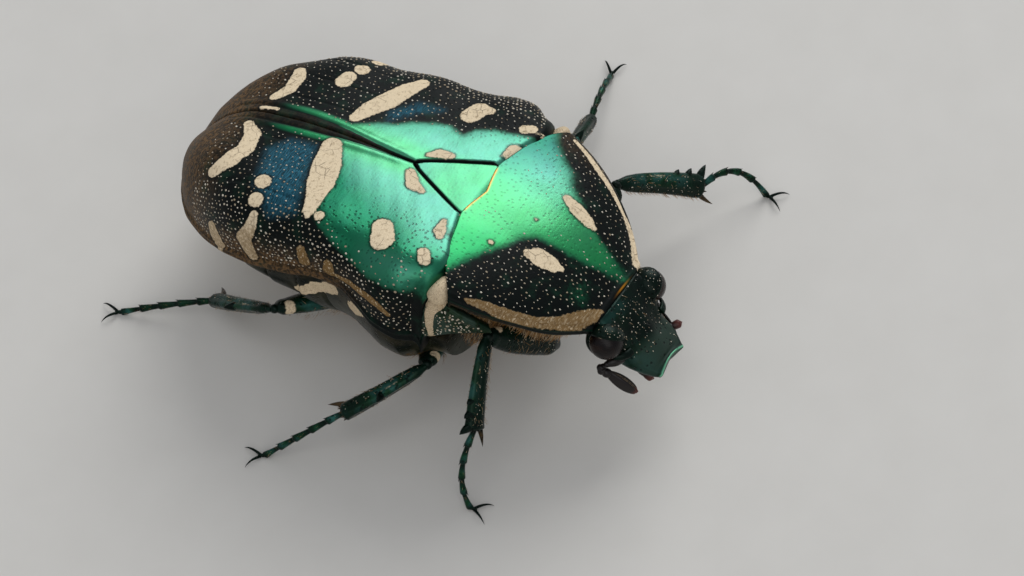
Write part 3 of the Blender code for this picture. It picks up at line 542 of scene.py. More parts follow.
def shell_finish(look):
    """Silky metallic green with painted highlight and shade, black fields, felt marks, pits painted dark as
    shade, wrinkles, and brown sides that are partly dust and partly a painted reflection of brown ground.
    """
    f = Finish("emerald_shell_finish")
    where = f.place()
    chart = f.chart()
    broad = f.noise(where, 1.3)
    fine = f.noise(where, 9.0)
    speckle = f.noise(where, 6.0, 4.0, 0.65)
    ragged = f.field("felt") + (fine - 0.5) * 0.16 + (broad - 0.5) * 0.08
    pale = ragged.step(-0.02, 0.025)
    outline = ragged.step(-0.14, -0.02) - pale
    field = f.field("green")
    green = (field + (broad - 0.5) * 0.22 + (speckle - 0.5) * 0.35 * field.step(0.98, 0.6)).step(0.04, 0.96)
    green = green.most(f.field("rib")) * (1 - f.field("band"))
    teal = f.field("teal") + (broad - 0.5) * 0.35
    # Painted light: the green is mixed from shaded and lit copies of itself, painted bright where the
    # highlight falls and dim where shade falls.
    shaded_green = f.blend(look.shaded_emerald, look.shaded_turquoise, teal)
    colour = f.blend(shaded_green, f.blend(look.emerald, look.turquoise, teal), f.field("lustre"))
    deep = f.blend(look.night, look.depth, green.step(0.05, 0.5) + broad.step(0.5, 0.75) * 0.25)
    colour = f.blend(deep, colour, green.step(0.15, 1.0))
    striped = f.noise(f.chart((1.2, 9.0, 1.0)), 2.6, 2.0)
    blue = f.field("blue") * (1 - green) * (striped.step(0.3, 0.62) * 0.8 + 0.2)
    colour = f.blend(colour, look.blue, blue)
    # Brown flecks over the rear and margins stand partly for dust and partly for a painted reflection of
    # brown ground.
    flecks = (speckle + (fine - 0.5) * 0.5).step(0.42, 0.62)
    brown = f.field("brown") * (flecks * 0.8 + 0.2) * (1 - green)
    colour = f.blend(colour, look.bronze, brown)
    # Pits are painted near black as shade in their hollows, and the rims round the felt marks are darkened
    # with them.
    pits = f.cells(chart, 3.7, 0.85, dimensions="2D")
    pit = pits.step(0.26, 0.08) * f.noise(chart, 0.8, 1.0).step(0.3, 0.55) * f.field("pitted")
    colour = f.blend(colour, look.night, pit * 0.7 + outline * 0.7)
    colour = f.blend(colour, look.gold, f.field("gold"))
    threads = f.noise(f.place((1.6, 4.5, 4.5)), 2.0, 4.0, 0.65)
    worn = (f.field("dusty") + (threads - 0.5) * 1.3).step(0.15, 0.95)
    felt = f.blend(look.felt_pale, look.felt_brown, worn)
    felt = f.blend(felt, look.felt_brown, (speckle + (fine - 0.5) * 0.6).step(0.52, 0.72) * 0.45)
    felt = f.blend(felt, look.felt_pale, threads.step(0.55, 0.66) * f.field("dusty") * 0.7)
    cracks = f.cells(f.place(), 2.4, 1.0, "DISTANCE_TO_EDGE").step(0.05, 0.0) * broad.step(0.45, 0.62)
    felt = f.blend(felt, look.felt_dark, cracks * 0.3 * (1 - f.field("dusty")))
    colour = f.blend(colour, felt, pale)
    sheen_grain = f.noise(where, 26.0, 1.0)
    wrinkles = f.noise(f.chart((1.0, 3.5, 1.0)), 2.2)
    height = (fine - 0.5) * 0.003 + (wrinkles - 0.5) * 0.006 + sheen_grain * 0.001 - pit * 0.016
    height = height + blue * striped * 0.02 + brown * speckle * 0.02
    height = height + pale * ((threads - 0.5) * 0.05 - cracks * 0.03 + (fine - 0.5) * 0.02 + 0.02)
    rough = f.noise(where, 4.0) * 0.08 + 0.30 + (1 - green) * 0.10
    metal = green * 0.85 + blue * 0.55 + 0.05
    # The clear coat is laid on where the highlight is painted, so that it pales the painted highlight
    # further.
    coat = (1 - pale) * green * f.field("lustre") * 0.6
    return f.finish(colour, rough + pale * 0.45 + brown * 0.12, metal * (1 - pale), height,
                    {"Coat Weight": coat, "Coat Roughness": 0.22, "Specular IOR Level": 0.1})


def floor_finish():
    """Plain pale floor."""
    f = Finish("pale_floor_finish")
    grain = f.noise(f.place(), 0.35)
    colour = f.blend(*FLOOR_COLOURS, grain)
    return f.finish(colour, grain * 0.1 + 0.75, 0.0)


class Look:
    """Colours of the finishes, from the panel's settings."""

    def __init__(self, settings):
        for name in BeetleColours.__annotations__:
            setattr(self, name, tuple(getattr(settings, name)))


def colour_setting(name, description, value):
    return bpy.props.FloatVectorProperty(
        name=name, description=description, default=value, min=0.0, max=1.0, size=3, subtype="COLOR")


class BeetleColours(bpy.types.PropertyGroup):
    """Colours of the beetle's finishes."""

    # Painted light: emerald and turquoise are the lit greens and the next two are their shaded copies; the
    # shell mixes them to paint highlight and shade.
    emerald: colour_setting("Emerald", "Green of the pronotum's disc", (0.048, 0.385, 0.12))
    turquoise: colour_setting("Turquoise", "Bluer green of the wing cases", (0.08, 0.315, 0.265))
    shaded_emerald: colour_setting("Dim emerald", "Green where its lustre fades", (0.014, 0.275, 0.078))
    shaded_turquoise: colour_setting("Dim turquoise", "Bluer green where its lustre fades", (0.012, 0.1, 0.075))
    night: colour_setting("Night", "Near black of the side fields", (0.0022, 0.0042, 0.0036))
    depth: colour_setting("Depth", "Deep green where the green fields fade", (0.006, 0.065, 0.032))
    blue: colour_setting("Blue", "Blue field behind the cross band", (0.02, 0.11, 0.16))
    # Bronze serves for worn and reddish bits of legs and underside, and on the back for brown that is partly
    # dust and partly a painted reflection of brown ground.
    bronze: colour_setting("Bronze", "Brown flecks of the rear and margins", (0.17, 0.095, 0.04))
    gold: colour_setting("Gold", "Thin golden edge of the pronotum", (0.66, 0.26, 0.015))
    felt_pale: colour_setting("Pale felt", "Cream marks on the back", (0.88, 0.71, 0.48))
    felt_brown: colour_setting("Brown felt", "Marks at the sides", (0.22, 0.13, 0.048))
    felt_dark: colour_setting("Felt cracks", "Cracks in the felt marks", (0.13, 0.065, 0.025))
    leg_green: colour_setting("Leg green", "Dark green of legs and underside", (0.003, 0.014, 0.008))
    slate: colour_setting("Slate", "Dull green grey of the head's shield", (0.027, 0.049, 0.036))
    pale_rim: colour_setting("Pale rim", "Bright edge of the head's shield", (0.22, 0.62, 0.38))
    hair: colour_setting("Hair", "Golden brown hairs", (0.36, 0.17, 0.04))


class BeetleSizes(bpy.types.PropertyGroup):
    """Sizes of the beetle's finer forms."""

    seam: bpy.props.FloatProperty(
        name="Seam", description="Open line between the shells", default=0.07e-3, precision=6, unit="LENGTH")
    scale_size: bpy.props.FloatProperty(
        name="Scale size", description="Share of the scales' own size", default=1.0, min=0.1, max=3.0)
    hair_thickness: bpy.props.FloatProperty(
        name="Hair thickness", description="Share of the hairs' own thickness", default=1.0, min=0.1,
        max=3.0)
    hair_length: bpy.props.FloatProperty(
        name="Hair length", description="Share of the hairs' own length", default=1.0, min=0.1, max=3.0)
    mesh_step: bpy.props.FloatProperty(
        name="Mesh step", description="Spacing of the shells' points", default=0.05e-3, precision=6,
        unit="LENGTH")


# Roots of the scales and hairs, gathered while the skins are made.
GROWTH = {}


def one_per_cell(across, along, spacing, jitter, rng):
    """Index of one point in each cell of a staggered grid over a surface, near the cell's middle."""
    wide, long = spacing
    column = np.floor(across / wide).astype(int)
    shifted = along / long + 0.5 * (column % 2)
    row = np.floor(shifted).astype(int)
    column, row = column - column.min(), row - row.min()
    middle = rng.uniform(0.5 - jitter, 0.5 + jitter, (2, column.max() + 1, row.max() + 1))
    off = np.hypot(across / wide - np.floor(across / wide) - middle[0][column, row],
                   shifted - np.floor(shifted) - middle[1][column, row])
    cell = (column * (row.max() + 1) + row).ravel()
    order = np.lexsort((off.ravel(), cell))
    first = np.concatenate(([True], np.diff(cell[order]) > 0))
    return order[first]


def plant(kind, chosen, points, normals, lie, size, chart, to_world, rng, spread=0.3):
    """Adds roots for one kind of growth at chosen points of a skin: lie is the way it leans, by as much as
    spread astray, and size its width, length and rise."""
    points, normals = points.reshape(-1, 3)[chosen], normals.reshape(-1, 3)[chosen]
    lie = lie + rng.normal(0, spread, points.shape)
    lie = lie - normals * np.sum(lie * normals, -1, keepdims=True)
    lie /= np.linalg.norm(lie, axis=-1, keepdims=True) + 1e-9
    size = np.broadcast_to(size, points.shape) * rng.uniform(0.6, 1.3, (len(points), 1))
    origin = to_world(np.zeros((1, 3)))
    GROWTH.setdefault(kind, []).append((
        to_world(points), to_world(normals) - origin, to_world(lie) - origin, size,
        chart.reshape(-1, 2)[chosen]))


def padded(values, columns, before=0, after=0):
    """A skin's values repeated over the columns and rows of points that close it."""
    values = np.concatenate((values, np.repeat(values[:, -1:], columns, 1)), 1)
    return np.concatenate((np.repeat(values[:1], before, 0), values, np.repeat(values[-1:], after, 0)))


def back_shell(name, node, rings, fields, chart, before, after, look_material):
    """One closed shell of the back from its rings, of which before and after close its front and base."""
    columns = rings.shape[1] - chart.shape[1]
    fields = {key: padded(np.broadcast_to(np.asarray(value, float), chart.shape[:2]), columns, before, after)
              for key, value in fields.items()}
    form = ring_form(rings, fields, padded(chart, columns, before, after))
    return dress(joined(name, [form], body_to_world), look_material, "emerald_shell", node)


def wing_case(side, look_material, sizes):
    """One wing case, with its ribs, grooves, rolled margin and roots of white scales."""
    seam, step = sizes.seam / MM, sizes.mesh_step / MM
    rows = np.linspace(0, 1, int(WING_RUN / step))
    points, run = even_rows(lambda a, v: wing_surface(a, v, side, seam), rows, int(WING_GIRTH / step))
    across = run + np.abs(points[:, :1, 0])
    along = points[..., 1]
    margin = run[:, -1:] - run
    chart = pair(across, along)
    normal = surface_normals(points, away_from_core(points))
    felt = chain_reach(across, along, WING_MARKS[side])
    # The suture widens rearward into a dark band with a bright rib beside it.
    line = 0.05 + 0.38 * fade(3.0, 9.0, along)
    open_seam = fade(3.0, 4.2, along)
    rear = open_seam * (1 - fade(11.0, 12.8, along))
    relief = 0.05 * fade(4.0, 6.5, along) * (1 - fade(11.0, 12.8, along)) * hump(across, 0, 0.45)
    relief += rear * 0.035 * (hump(across, line + 0.2, 0.17) - hump(across, line, 0.06))
    relief -= 0.06 * hump(run, 0, 0.05)
    relief += 0.05 * hump(margin, 0.1, 0.08) - 0.03 * hump(margin, 0.32, 0.12)
    relief += FELT_RISE * fade(-0.03, 0.03, felt)
    for groove, depth in WING_STRIAE:
        relief -= depth * fade(5.8, 6.8, along) * (1 - fade(9.5, 11, along)) * hump(across, groove, 0.07)
    # A faint unevenness keeps the reflections alive.
    relief += 0.004 * np.sin(across * 5.1 + along * 2.3) * np.sin(along * 4.7 - across)
    points = points + normal * relief[..., None]
    rng = np.random.default_rng(SEEDS["wing_case"] + side)
    # The green field follows those outlines, so its side difference is a painted reflection; it is also
    # weakened a little toward the flank.
    reach = field_reach(across, along, WING_GREEN[side])
    green = fade(-0.35, 0.5, reach) * (1 - fade(0.12, 0.0, run)) * (1 - 0.15 * fade(3.2, 5.2, across))
    flank = (across >= FLANK_START) & (along < SCALES_END)
    back = (across < FLANK_START) & (along < SCALES_END)
    back_zone, flank_zone = (reach < 0.2) & back, (margin > 0.3) & flank
    for (spacing, size), zone in ((BACK_SCALES, back_zone), (FLANK_SCALES, flank_zone)):
        roots = one_per_cell(across, along, spacing, 0.24, rng)
        open_skin = (zone & (felt < -0.1) & (across > line + 0.3) & (run > 0.2)).ravel()[roots]
        share = 0.9 - 0.72 * fade(-0.3, 0.6, reach.ravel()[roots])
        roots = roots[open_skin & (rng.random(len(roots)) < share)]
        plant("scales", roots, points, normal, BACKWARD, size, chart, body_to_world, rng)
    # Painted light: each case is painted brightest near the suture where the highlight falls, duller toward
    # its flank and near the green field's edge, and a little brighter again at the front of its flank.
    lustre = 1 - WING_PAINTED_SHADE[side] * fade(2.0, 4.6, across + 0.45 * (along - 1.5))
    lustre += 0.45 * fade(4.4, 5.4, across) * fade(4.0, 2.0, along) - 0.2 * fade(1.2, 0, reach)
    # Brown over the rear and the flank's margin, partly dust and partly a painted reflection of brown
    # ground.
    brown = fade(9.6, 12.4, along) + fade(5.8, 7.3, across) * fade(2.0, 5.5, along)
    fields = dict(
        felt=felt,
        green=green,
        blue=fade(-0.35, 0.35, field_reach(across, along, WING_BLUE[side])),
        band=open_seam * fade(line + 0.03, line - 0.03, across),
        rib=rear * hump(across, line + 0.2, 0.17) * (1 - fade(8.2, 10.4, along)),
        teal=0.75 - 0.5 * hump(across, 0.5, 0.55) - 0.1 * fade(2.5, 5, across),
        brown=np.clip(brown + 0.1 * open_seam * fade(line, line - 0.1, across), 0, 1),
        dusty=fade(5.0, 6.2, across) * (0.55 + 0.45 * fade(9.0, 4.5, along)),
        gold=0,
        pitted=0.08 + 0.55 * fade(2.0, 3.6, across),
        lustre=lustre,
    )
    under = [points[:, -1] + (side * out, 0, drop) for out, drop in WING_LIP]
    wall_low = np.stack((points[:, 0, 0], points[:, 0, 1], points[:, -1, 2] - WING_EDGE), -1)
    wall_top = points[:, 0] - (0, 0, WING_EDGE)
    middle = (under[-1] + wall_low) / 2
    rings = np.concatenate((points, np.stack([*under, middle, wall_low, wall_top], 1)), 1)
    front = [rings[0] + (0, back_by, drop) for back_by, drop in WING_TUCK]
    rings = np.concatenate((np.stack(front), rings))
    label = side_name(side)
    return back_shell("wing_case_" + label, "elytron_" + label, rings, fields, chart, len(front), 0,
                      look_material)


def pronotum(look_material, sizes):
    """The pronotum, whole across the midline, with its rolled margin and roots of white scales."""
    step = sizes.mesh_step / MM
    rows = np.linspace(0, 1, int(PRONOTUM_RUN / step))
    half, run = even_rows(pronotum_surface, rows, int(PRONOTUM_GIRTH / step), 2.0)
    points = np.concatenate((half[:, :0:-1] * (-1, 1, 1), half), 1)
    across = np.concatenate((-run[:, :0:-1], run), 1)
    along = points[..., 1]
    margin = run[:, -1:] - np.abs(across)
    chart = pair(across, along)
    normal = surface_normals(points, away_from_core(points))
    felt = chain_reach(across, along, PRONOTUM_MARKS)
    shares = np.broadcast_to(rows[:, None], along.shape)
    base_gap = (1 - shares) * PRONOTUM_LENGTH
    front_gap = shares * PRONOTUM_LENGTH
    relief = 0.05 * hump(margin, 0.08, 0.08) - 0.035 * hump(margin, 0.26, 0.1)
    relief += FELT_RISE * fade(-0.03, 0.03, felt)
    relief += 0.03 * hump(front_gap, 0.1, 0.08) - 0.02 * hump(front_gap, 0.3, 0.1)
    relief += 0.003 * np.sin(across * 4.1 + 1) * np.sin(along * 3.9)
    points = points + normal * relief[..., None]
    rng = np.random.default_rng(SEEDS["pronotum"])
    reach = field_reach(across, along, PRONOTUM_GREEN)
    # Painted shade: the green is painted duller over the front slope of the pronotum.
    green = fade(-0.4, 0.75, reach) * (1 - 0.5 * fade(-4.4, -6.0, along))
    green = np.maximum(green, 0.36 * hump(across, -1.4, 1.1) * hump(along, -5.0, 0.8))
    spacing, size = PRONOTUM_SCALES
    roots = one_per_cell(across, along, spacing, 0.36, rng)
    open_skin = ((felt < -0.07) & (margin > 0.3) & (front_gap > 0.15)).ravel()[roots]
    share = 0.92 - 0.85 * fade(-0.3, 0.35, reach) * (1 - 0.75 * fade(-4.0, -5.2, along))
    roots = roots[open_skin & (rng.random(len(roots)) < share.ravel()[roots])]
    plant("scales", roots, points, normal, BACKWARD, size, chart, body_to_world, rng)
    # Painted highlight: a slanting stripe over the disc is painted bright, and both flanks of it are painted
    # duller.
    lustre = hump(across * 0.69 + (along + 0.2) * 0.72, -0.3, 2.35)
    lustre = lustre * (1 - 0.5 * fade(2.0, 4.0, across)) * (1 - 0.5 * fade(-0.8, -2.6, across))
    near_margin = np.maximum(fade(-2.4, -3.3, across), fade(-4.3, -4.9, along) * fade(-0.5, -1.2, across))
    fields = dict(
        felt=np.where(margin < 0.06, -0.5, felt),
        green=green,
        blue=0,
        band=0,
        rib=0.2 * hump(margin, 0.06, 0.07),
        teal=np.clip(0.12 + 0.8 * fade(-0.2, 3.0, across) * fade(-4.5, -1.0, along), 0, 1),
        # Brown on the left margin, partly dust and partly a painted reflection of brown ground.
        brown=0.3 * fade(3.5, 5.0, across) * hump(along, -2, 2),
        dusty=near_margin * 0.85,
        pitted=0.3,
        lustre=lustre,
        gold=(hump(base_gap, 0.0, 0.07) * fade(1.5, 1.2, np.abs(across))
              + 0.9 * hump(front_gap, 0.05, 0.022) * hump(across, 0.4, 0.4)),
    )
    left_lip = [points[:, -1] + (out, 0, drop) for out, drop in PRONOTUM_LIP]
    right_lip = [points[:, 0] + (-out, 0, drop) for out, drop in PRONOTUM_LIP[::-1]]
    closing = [*left_lip, (left_lip[-1] + right_lip[0]) / 2, *right_lip]
    rings = np.concatenate((points, np.stack(closing, 1)), 1)
    base = [rings[-1] + (0, back, drop) for back, drop in PRONOTUM_BASE_TUCK]
    front = [rings[0] + (0, back, drop) for back, drop in PRONOTUM_FRONT_TUCK]
    rings = np.concatenate((np.stack(front), rings, np.stack(base)))
    return back_shell("pronotum_shell", "pronotum", rings, fields, chart, len(front), len(base),
                      look_material)


def scutellum(look_material):
    """The three-cornered plate between the bases of the wing cases."""
    ys = np.concatenate((np.linspace(-0.2, 3.1, 90), np.linspace(3.11, SCUTELLUM_TIP + 0.02, 14)))
    tip = np.sqrt(np.clip((SCUTELLUM_TIP + SCUTELLUM_TUCK - ys) / 0.3, 0.003, 1))
    half = np.maximum(scutellum_half(ys), 0.0) + SCUTELLUM_TUCK
    half = np.minimum(half, SCUTELLUM_HALF + SCUTELLUM_TUCK) * np.minimum(1, tip)
    x = half[:, None] * np.linspace(-1, 1, 61)
    y = np.broadcast_to(ys[:, None], x.shape)
    edge = half[:, None] - np.abs(x)
    z = curve(DORSAL_LINE, y, 1) - 0.03 - 0.035 * (x / SCUTELLUM_HALF) ** 2 - 0.05 * hump(edge, 0, 0.05)
    z = z - 0.12 * fade(0.35, -0.15, y) + 0.006 * np.sin(x * 4) * np.sin(y * 5)
    points = np.stack((x, y, z), -1)
    lip = [points[:, -1] * (share, 1, 1) + (0, 0, drop) for share, drop in SCUTELLUM_LIP]
    back = [points[:, 0] * (share, 1, 1) + (0, 0, drop) for share, drop in SCUTELLUM_LIP[::-1]]
    rings = np.concatenate((points, np.stack(lip + back, 1)), 1)
    fields = dict(felt=-1, green=fade(0.03, 0.12, edge), blue=0, band=0, rib=0, gold=0, brown=0, dusty=0,
                  pitted=0.1, lustre=1, teal=0.3 + 0.35 * fade(1.5, 3.2, y))
    return back_shell("scutellum_shell", "scutellum", rings, fields, pair(x, y), 0, 0, look_material)


# Head: a sloping shield, as (distance along it, half width, thickness).
HEAD_TOP = np.array((0.0, -6.1, 7.0))
HEAD_SLOPE = math.radians(46.0)
HEAD_PLAN = (
    (0.1, 1.65, 1.3), (0.45, 1.82, 1.5), (0.75, 2.0, 1.9), (1.2, 2.12, 2.1), (1.6, 1.98, 2.05),
    (1.95, 1.68, 1.85), (2.25, 1.47, 1.7), (2.8, 1.38, 1.25), (3.35, 1.2, 0.8), (3.66, 1.03, 0.56),
    (3.79, 0.93, 0.42),
)
CLYPEUS_NOTCH = 0.28
EYE_ALONG = 1.1
EYE_SIDE = 1.78
EYE_RADIUS = 0.68
EYE_DEPTH = 0.44
# Brow over each eye: the way it faces (toward the midline, along, outward) and how far it reaches round.
BROW_WAY = (0.62, -0.66, 0.42)
BROW_EDGE = 0.3
# Ridge that runs from the shield's side into each eye, as (distance out, along, inward), and its width.
CANTHUS = (
    (1.25, 2.1, 0.18), (1.48, 2.06, 0.22), (1.68, 1.98, 0.32), (1.84, 1.86, 0.46), (1.92, 1.72, 0.64),
)
CANTHUS_WIDTH = 0.34
HEAD_SCALE = (0.034, 0.054, 0.02)
HEAD_ALONG = np.array((0, -math.cos(HEAD_SLOPE), -math.sin(HEAD_SLOPE)))
HEAD_INWARD = np.array((0, math.sin(HEAD_SLOPE), -math.cos(HEAD_SLOPE)))
# Path of the right antenna, mirrored for the left.
ANTENNA_ROOT = (-1.5, -7.1, 4.95)
ANTENNA_BEND = (-2.3, -6.6, 4.9)
ANTENNA_TIP = (-1.75, -8.0, 3.7)
# How far the left one's bend and tip lie from the mirrored ones.
LEFT_BEND_SHIFT = (-0.22, 0, -0.1)
LEFT_TIP_SHIFT = (-0.25, 0, 0.0)
# Way that a feeler's broad side faces, and the leaves of its club as (side, length, redness).
ANTENNA_EDGE = np.array((0, 0.3, 1.0))
CLUB_LEAVES = ((-1, 0.97, 0.25), (0, 1.0, 0.45), (1, 0.95, 0.25))
# The right palp is folded under the head and the left one reaches out.
PALPS = {
    -1: ((-0.6, -7.1, 4.3), (-0.8, -7.6, 3.8), (-0.65, -8.2, 3.55)),
    1: ((0.65, -7.15, 4.4), (1.4, -7.7, 4.3), (1.85, -8.1, 4.55)),
}
# Lowest line of the underside, as (y, z).
BELLY_LINE = (
    (-5.0, 4.9), (-4.0, 4.1), (-2.5, 3.4), (-0.8, 3.0), (0.6, 2.5), (2.2, 2.35), (4.2, 2.35),
    (6.0, 2.6), (8.0, 2.95), (10.0, 3.3), (12.0, 3.75), (13.6, 4.2),
)
# Cream marks on the flank below the wing case, as (y, z, radius).
SIDE_MARKS = (((4.2, 6.3, 0.3), (5.0, 5.95, 0.32), (5.8, 5.4, 0.2)), ((2.5, 6.35, 0.22), (3.1, 6.0, 0.32)))
# Rear edges of the belly's rings, as y.
STERNITES = (5.3, 6.9, 8.3, 9.6, 10.9, 12.3)
# Where the hind body starts, as y.
ABDOMEN_START = 5.25
# Upper limit of the throat under the pronotum, as (distance forward, z).
THROAT_TOP = ((1.2, 8.6), (2.4, 8.2), (3.6, 7.7), (4.8, 7.05), (5.95, 6.45))
# Rim of the right side plate behind the pronotum's hind corner, as (distance out, y, z).
SIDE_PLATE_RIM = (
    (4.5, -0.42, 8.85), (5.0, -0.36, 8.4), (5.35, -0.16, 7.5), (5.42, -0.02, 6.7), (5.3, -0.1, 6.05),
    (5.0, -1.3, 6.6), (4.75, -2.1, 6.85), (4.5, -2.75, 6.95), (4.8, -2.1, 7.4), (5.0, -1.5, 7.75),
    (5.05, -0.95, 8.0), (4.95, -0.78, 8.35),
)
# Swollen top of the plate, in the notch between pronotum and wing case.
PLATE_TOP = (4.8, -0.64, 8.62)
PLATE_TOP_RADII = (0.6, 0.48, 0.56)
# Felt stripe down the side plate, as discs (y, z, radius).
PLATE_MARK = (
    (-0.75, 8.9, 0.5), (-0.55, 8.1, 0.42), (-0.42, 7.6, 0.2), (-0.42, 6.8, 0.13), (-0.48, 6.1, 0.1),
)
PLATE_THICKNESS = 0.42

# Each leg: hip in the beetle's axes, then knee, ankle and foot where it stands, the sag of the tarsus, the
# femur's width and thickness, the tibia's width at knee and ankle, its outer teeth as (place, length) and
# its spurs' lengths.
FRONT_TEETH = ((0.70, 0.16), (0.84, 0.2), (0.985, 0.34))
SHIN_TOOTH = ((0.55, 0.3),)
LEGS = {
    "front_right": ((-1.2, -3.6, 3.75), (-3.3, -2.45, 5.75), (-6.13, -3.29, 3.40), (-7.62, -3.72, 0.12),
                    (-0.35, 0.25, 0.2), (1.15, 0.85), (0.6, 0.98), FRONT_TEETH, (0.85,)),
    "front_left": ((1.2, -3.6, 3.75), (6.5, -2.95, 4.5), (9.6, -5.15, 2.0), (11.65, -7.1, 0.12),
                   (0.4, 0.25, 0.75), (1.15, 0.85), (0.6, 0.98), FRONT_TEETH, (0.85,)),
    "middle_right": ((-1.6, 1.0, 3.0), (-4.35, -0.1, 3.55), (-7.11, 2.31, 2.17), (-9.2, 4.95, 0.12),
                     (-0.1, 0.0, 0.1), (1.2, 0.85), (0.6, 0.95), SHIN_TOOTH, (0.8, 0.65)),
    "middle_left": ((1.6, 1.0, 3.0), (6.9, 0.3, 2.95), (11.1, 0.95, 1.2), (14.3, 1.75, 0.12),
                    (0.0, 0.0, 0.3), (1.2, 0.85), (0.55, 0.82), SHIN_TOOTH, (0.8, 0.65)),
    "hind_right": ((-1.5, 4.3, 3.0), (-4.66, 6.92, 3.40), (-3.95, 10.35, 0.98), (-5.75, 13.95, 0.12),
                   (0.0, 0.0, 0.1), (1.4, 0.9), (0.55, 0.86), SHIN_TOOTH, (0.95, 0.75)),
    "hind_left": ((1.5, 4.3, 3.0), (6.3, 6.7, 2.3), (6.0, 9.9, 0.85), (6.9, 13.3, 0.12),
                  (0.0, 0.0, 0.1), (1.4, 0.9), (0.55, 0.86), SHIN_TOOTH, (0.95, 0.75)),
}
FEMUR_SHAPE = ((-0.15, 0.45), (0.0, 0.9), (0.12, 0.95), (0.3, 1.0), (0.5, 1.0), (0.7, 0.92), (0.88, 0.72),
               (0.96, 0.6), (1.0, 0.3))
TARSOMERES = 5
# Power that makes the joints of the tarsus a little longer toward the claws.
JOINT_POWER = 0.94
CLAW_LENGTH = 0.78
CLAW_SPREAD = math.radians(34)
UP = np.array((0, 0, 1.0))


def tube_rings(path, wide, deep, edge, sides=32, power=1.0):
    """Rings along a path; edge names the direction of the wide axis."""
    along = np.gradient(path, axis=0)
    along /= np.linalg.norm(along, axis=1, keepdims=True)
    across = edge - along * (along @ edge)[:, None]
    across /= np.linalg.norm(across, axis=1, keepdims=True)
    thin = np.cross(along, across)
    turn = turns(sides)
    out = np.asarray(wide)[..., None] * squared(np.cos(turn), power) / 2
    up = np.asarray(deep)[..., None] * squared(np.sin(turn), power) / 2
    return path[:, None] + across[:, None] * out[..., None] + thin[:, None] * up[..., None]


# Width that limbs' charts are given, in millimetres.
LIMB_GIRTH = 2.5


def tube(path, wide, deep, edge, sides=32, relief=0.0, power=1.0, **fields):
    """Closed tapering limb with a chart of its length and girth; relief pushes its rings in or out."""
    rings = tube_rings(path, wide, deep, edge, sides, power)
    middle = rings.mean(1, keepdims=True)
    away = rings - middle
    away /= np.linalg.norm(away, axis=-1, keepdims=True) + 1e-9
    rings = rings + away * np.asarray(relief)[..., None]
    run = np.concatenate(([0], np.cumsum(np.linalg.norm(np.diff(path, axis=0), axis=1))))
    return ring_form(rings, fields, pair(np.linspace(0, LIMB_GIRTH, sides), run[:, None]))


def bent(points, count):
    """Parabola from the first point to the third, drawn toward the second."""
    a, b, c = (np.array(p, float) for p in points)
    t = np.linspace(0, 1, count)[:, None]
    return a * (1 - t) ** 2 + b * 2 * t * (1 - t) + c * t * t


def spine(root, tip, bow, radius, sides=10, count=14, **fields):
    """Curved tapering spine or claw with a fine tip."""
    middle = (np.array(root, float) + tip) / 2 + np.array(bow) * 2
    path = bent((root, middle, tip), count)
    width = 2 * radius * (1 - np.linspace(0, 1, count) ** 1.6 * 0.96)
    straight = unit(np.array(tip) - root)
    edge = np.cross(straight, (0.31, 0.42, 0.85))
    return tube(path, width, width, edge, sides, **fields)


def skin_finish(name, look, gloss):
    """Dark metallic green skin with pits painted dark as shade, painted green glints, worn pale patches and
    a bluer or browner tone.
    """
    f = Finish(name)
    where = f.place()
    broad = f.noise(where, 1.1)
    fine = f.noise(where, 8.0)
    colour = f.blend(look.night, look.leg_green, (broad + f.field("tone") * 0.7).step(0.25, 0.95))
    # Painted highlight: green glints of emerald or turquoise are painted into the dark skin where this field
    # asks, and it is made more metallic there.
    glint = f.field("glint") * (broad.step(0.4, 0.65) * 0.85 + 0.15)
    colour = f.blend(colour, f.blend(look.emerald, look.turquoise, broad.step(0.45, 0.55)), glint)
    colour = f.blend(colour, look.slate, f.field("matte"))
    # Pits are painted near black as shade in their hollows.
    pits = f.cells(where, 4.2, 1.0)
    pit = pits.step(0.3, 0.14)
    colour = f.blend(colour, look.night, pit * 0.7)
    threads = f.noise(f.place((5.0, 12.0, 12.0)), 2.0)
    ragged = f.field("felt") + (fine - 0.5) * 0.5 + (broad - 0.5) * 0.4
    pale = ragged.step(0.35, 0.6)
    worn = (f.field("dusty") + (threads - 0.5) * 0.9).step(0.1, 0.95)
    colour = f.blend(colour, f.blend(look.felt_pale, look.felt_brown, worn), pale)
    colour = f.blend(colour, look.bronze, f.field("worn") * broad.step(0.3, 0.7))
    colour = f.blend(colour, look.pale_rim, f.field("rim"))
    height = (fine - 0.5) * 0.008 - pit * 0.03 + pale * (threads - 0.5) * 0.03
    height = height + f.noise(where, 22.0, 1.0) * 0.002
    rough = f.field("matte") * 0.28 + f.noise(where, 5.0) * 0.12 + (gloss - 0.06)
    metal = glint * 0.5 + f.field("rim") * 0.5 + 0.35 - f.field("matte") * 0.3
    return f.finish(colour, rough + pale * 0.5, metal * (1 - pale), height, {"Specular IOR Level": 0.14})


def eye_finish():
    """Near black eye of many small facets."""
    f = Finish("eye_finish")
    where = f.place()
    facets = f.cells(where, 22.0, 0.25)
    colour = f.blend(*EYE_COLOURS, f.noise(where, 1.4).step(0.4, 0.75))
    return f.finish(colour, facets * 0.1 + 0.2, 0.0, facets * -0.008,
                    {"Coat Weight": 0.05, "Coat Roughness": 0.08, "Specular IOR Level": 0.2})


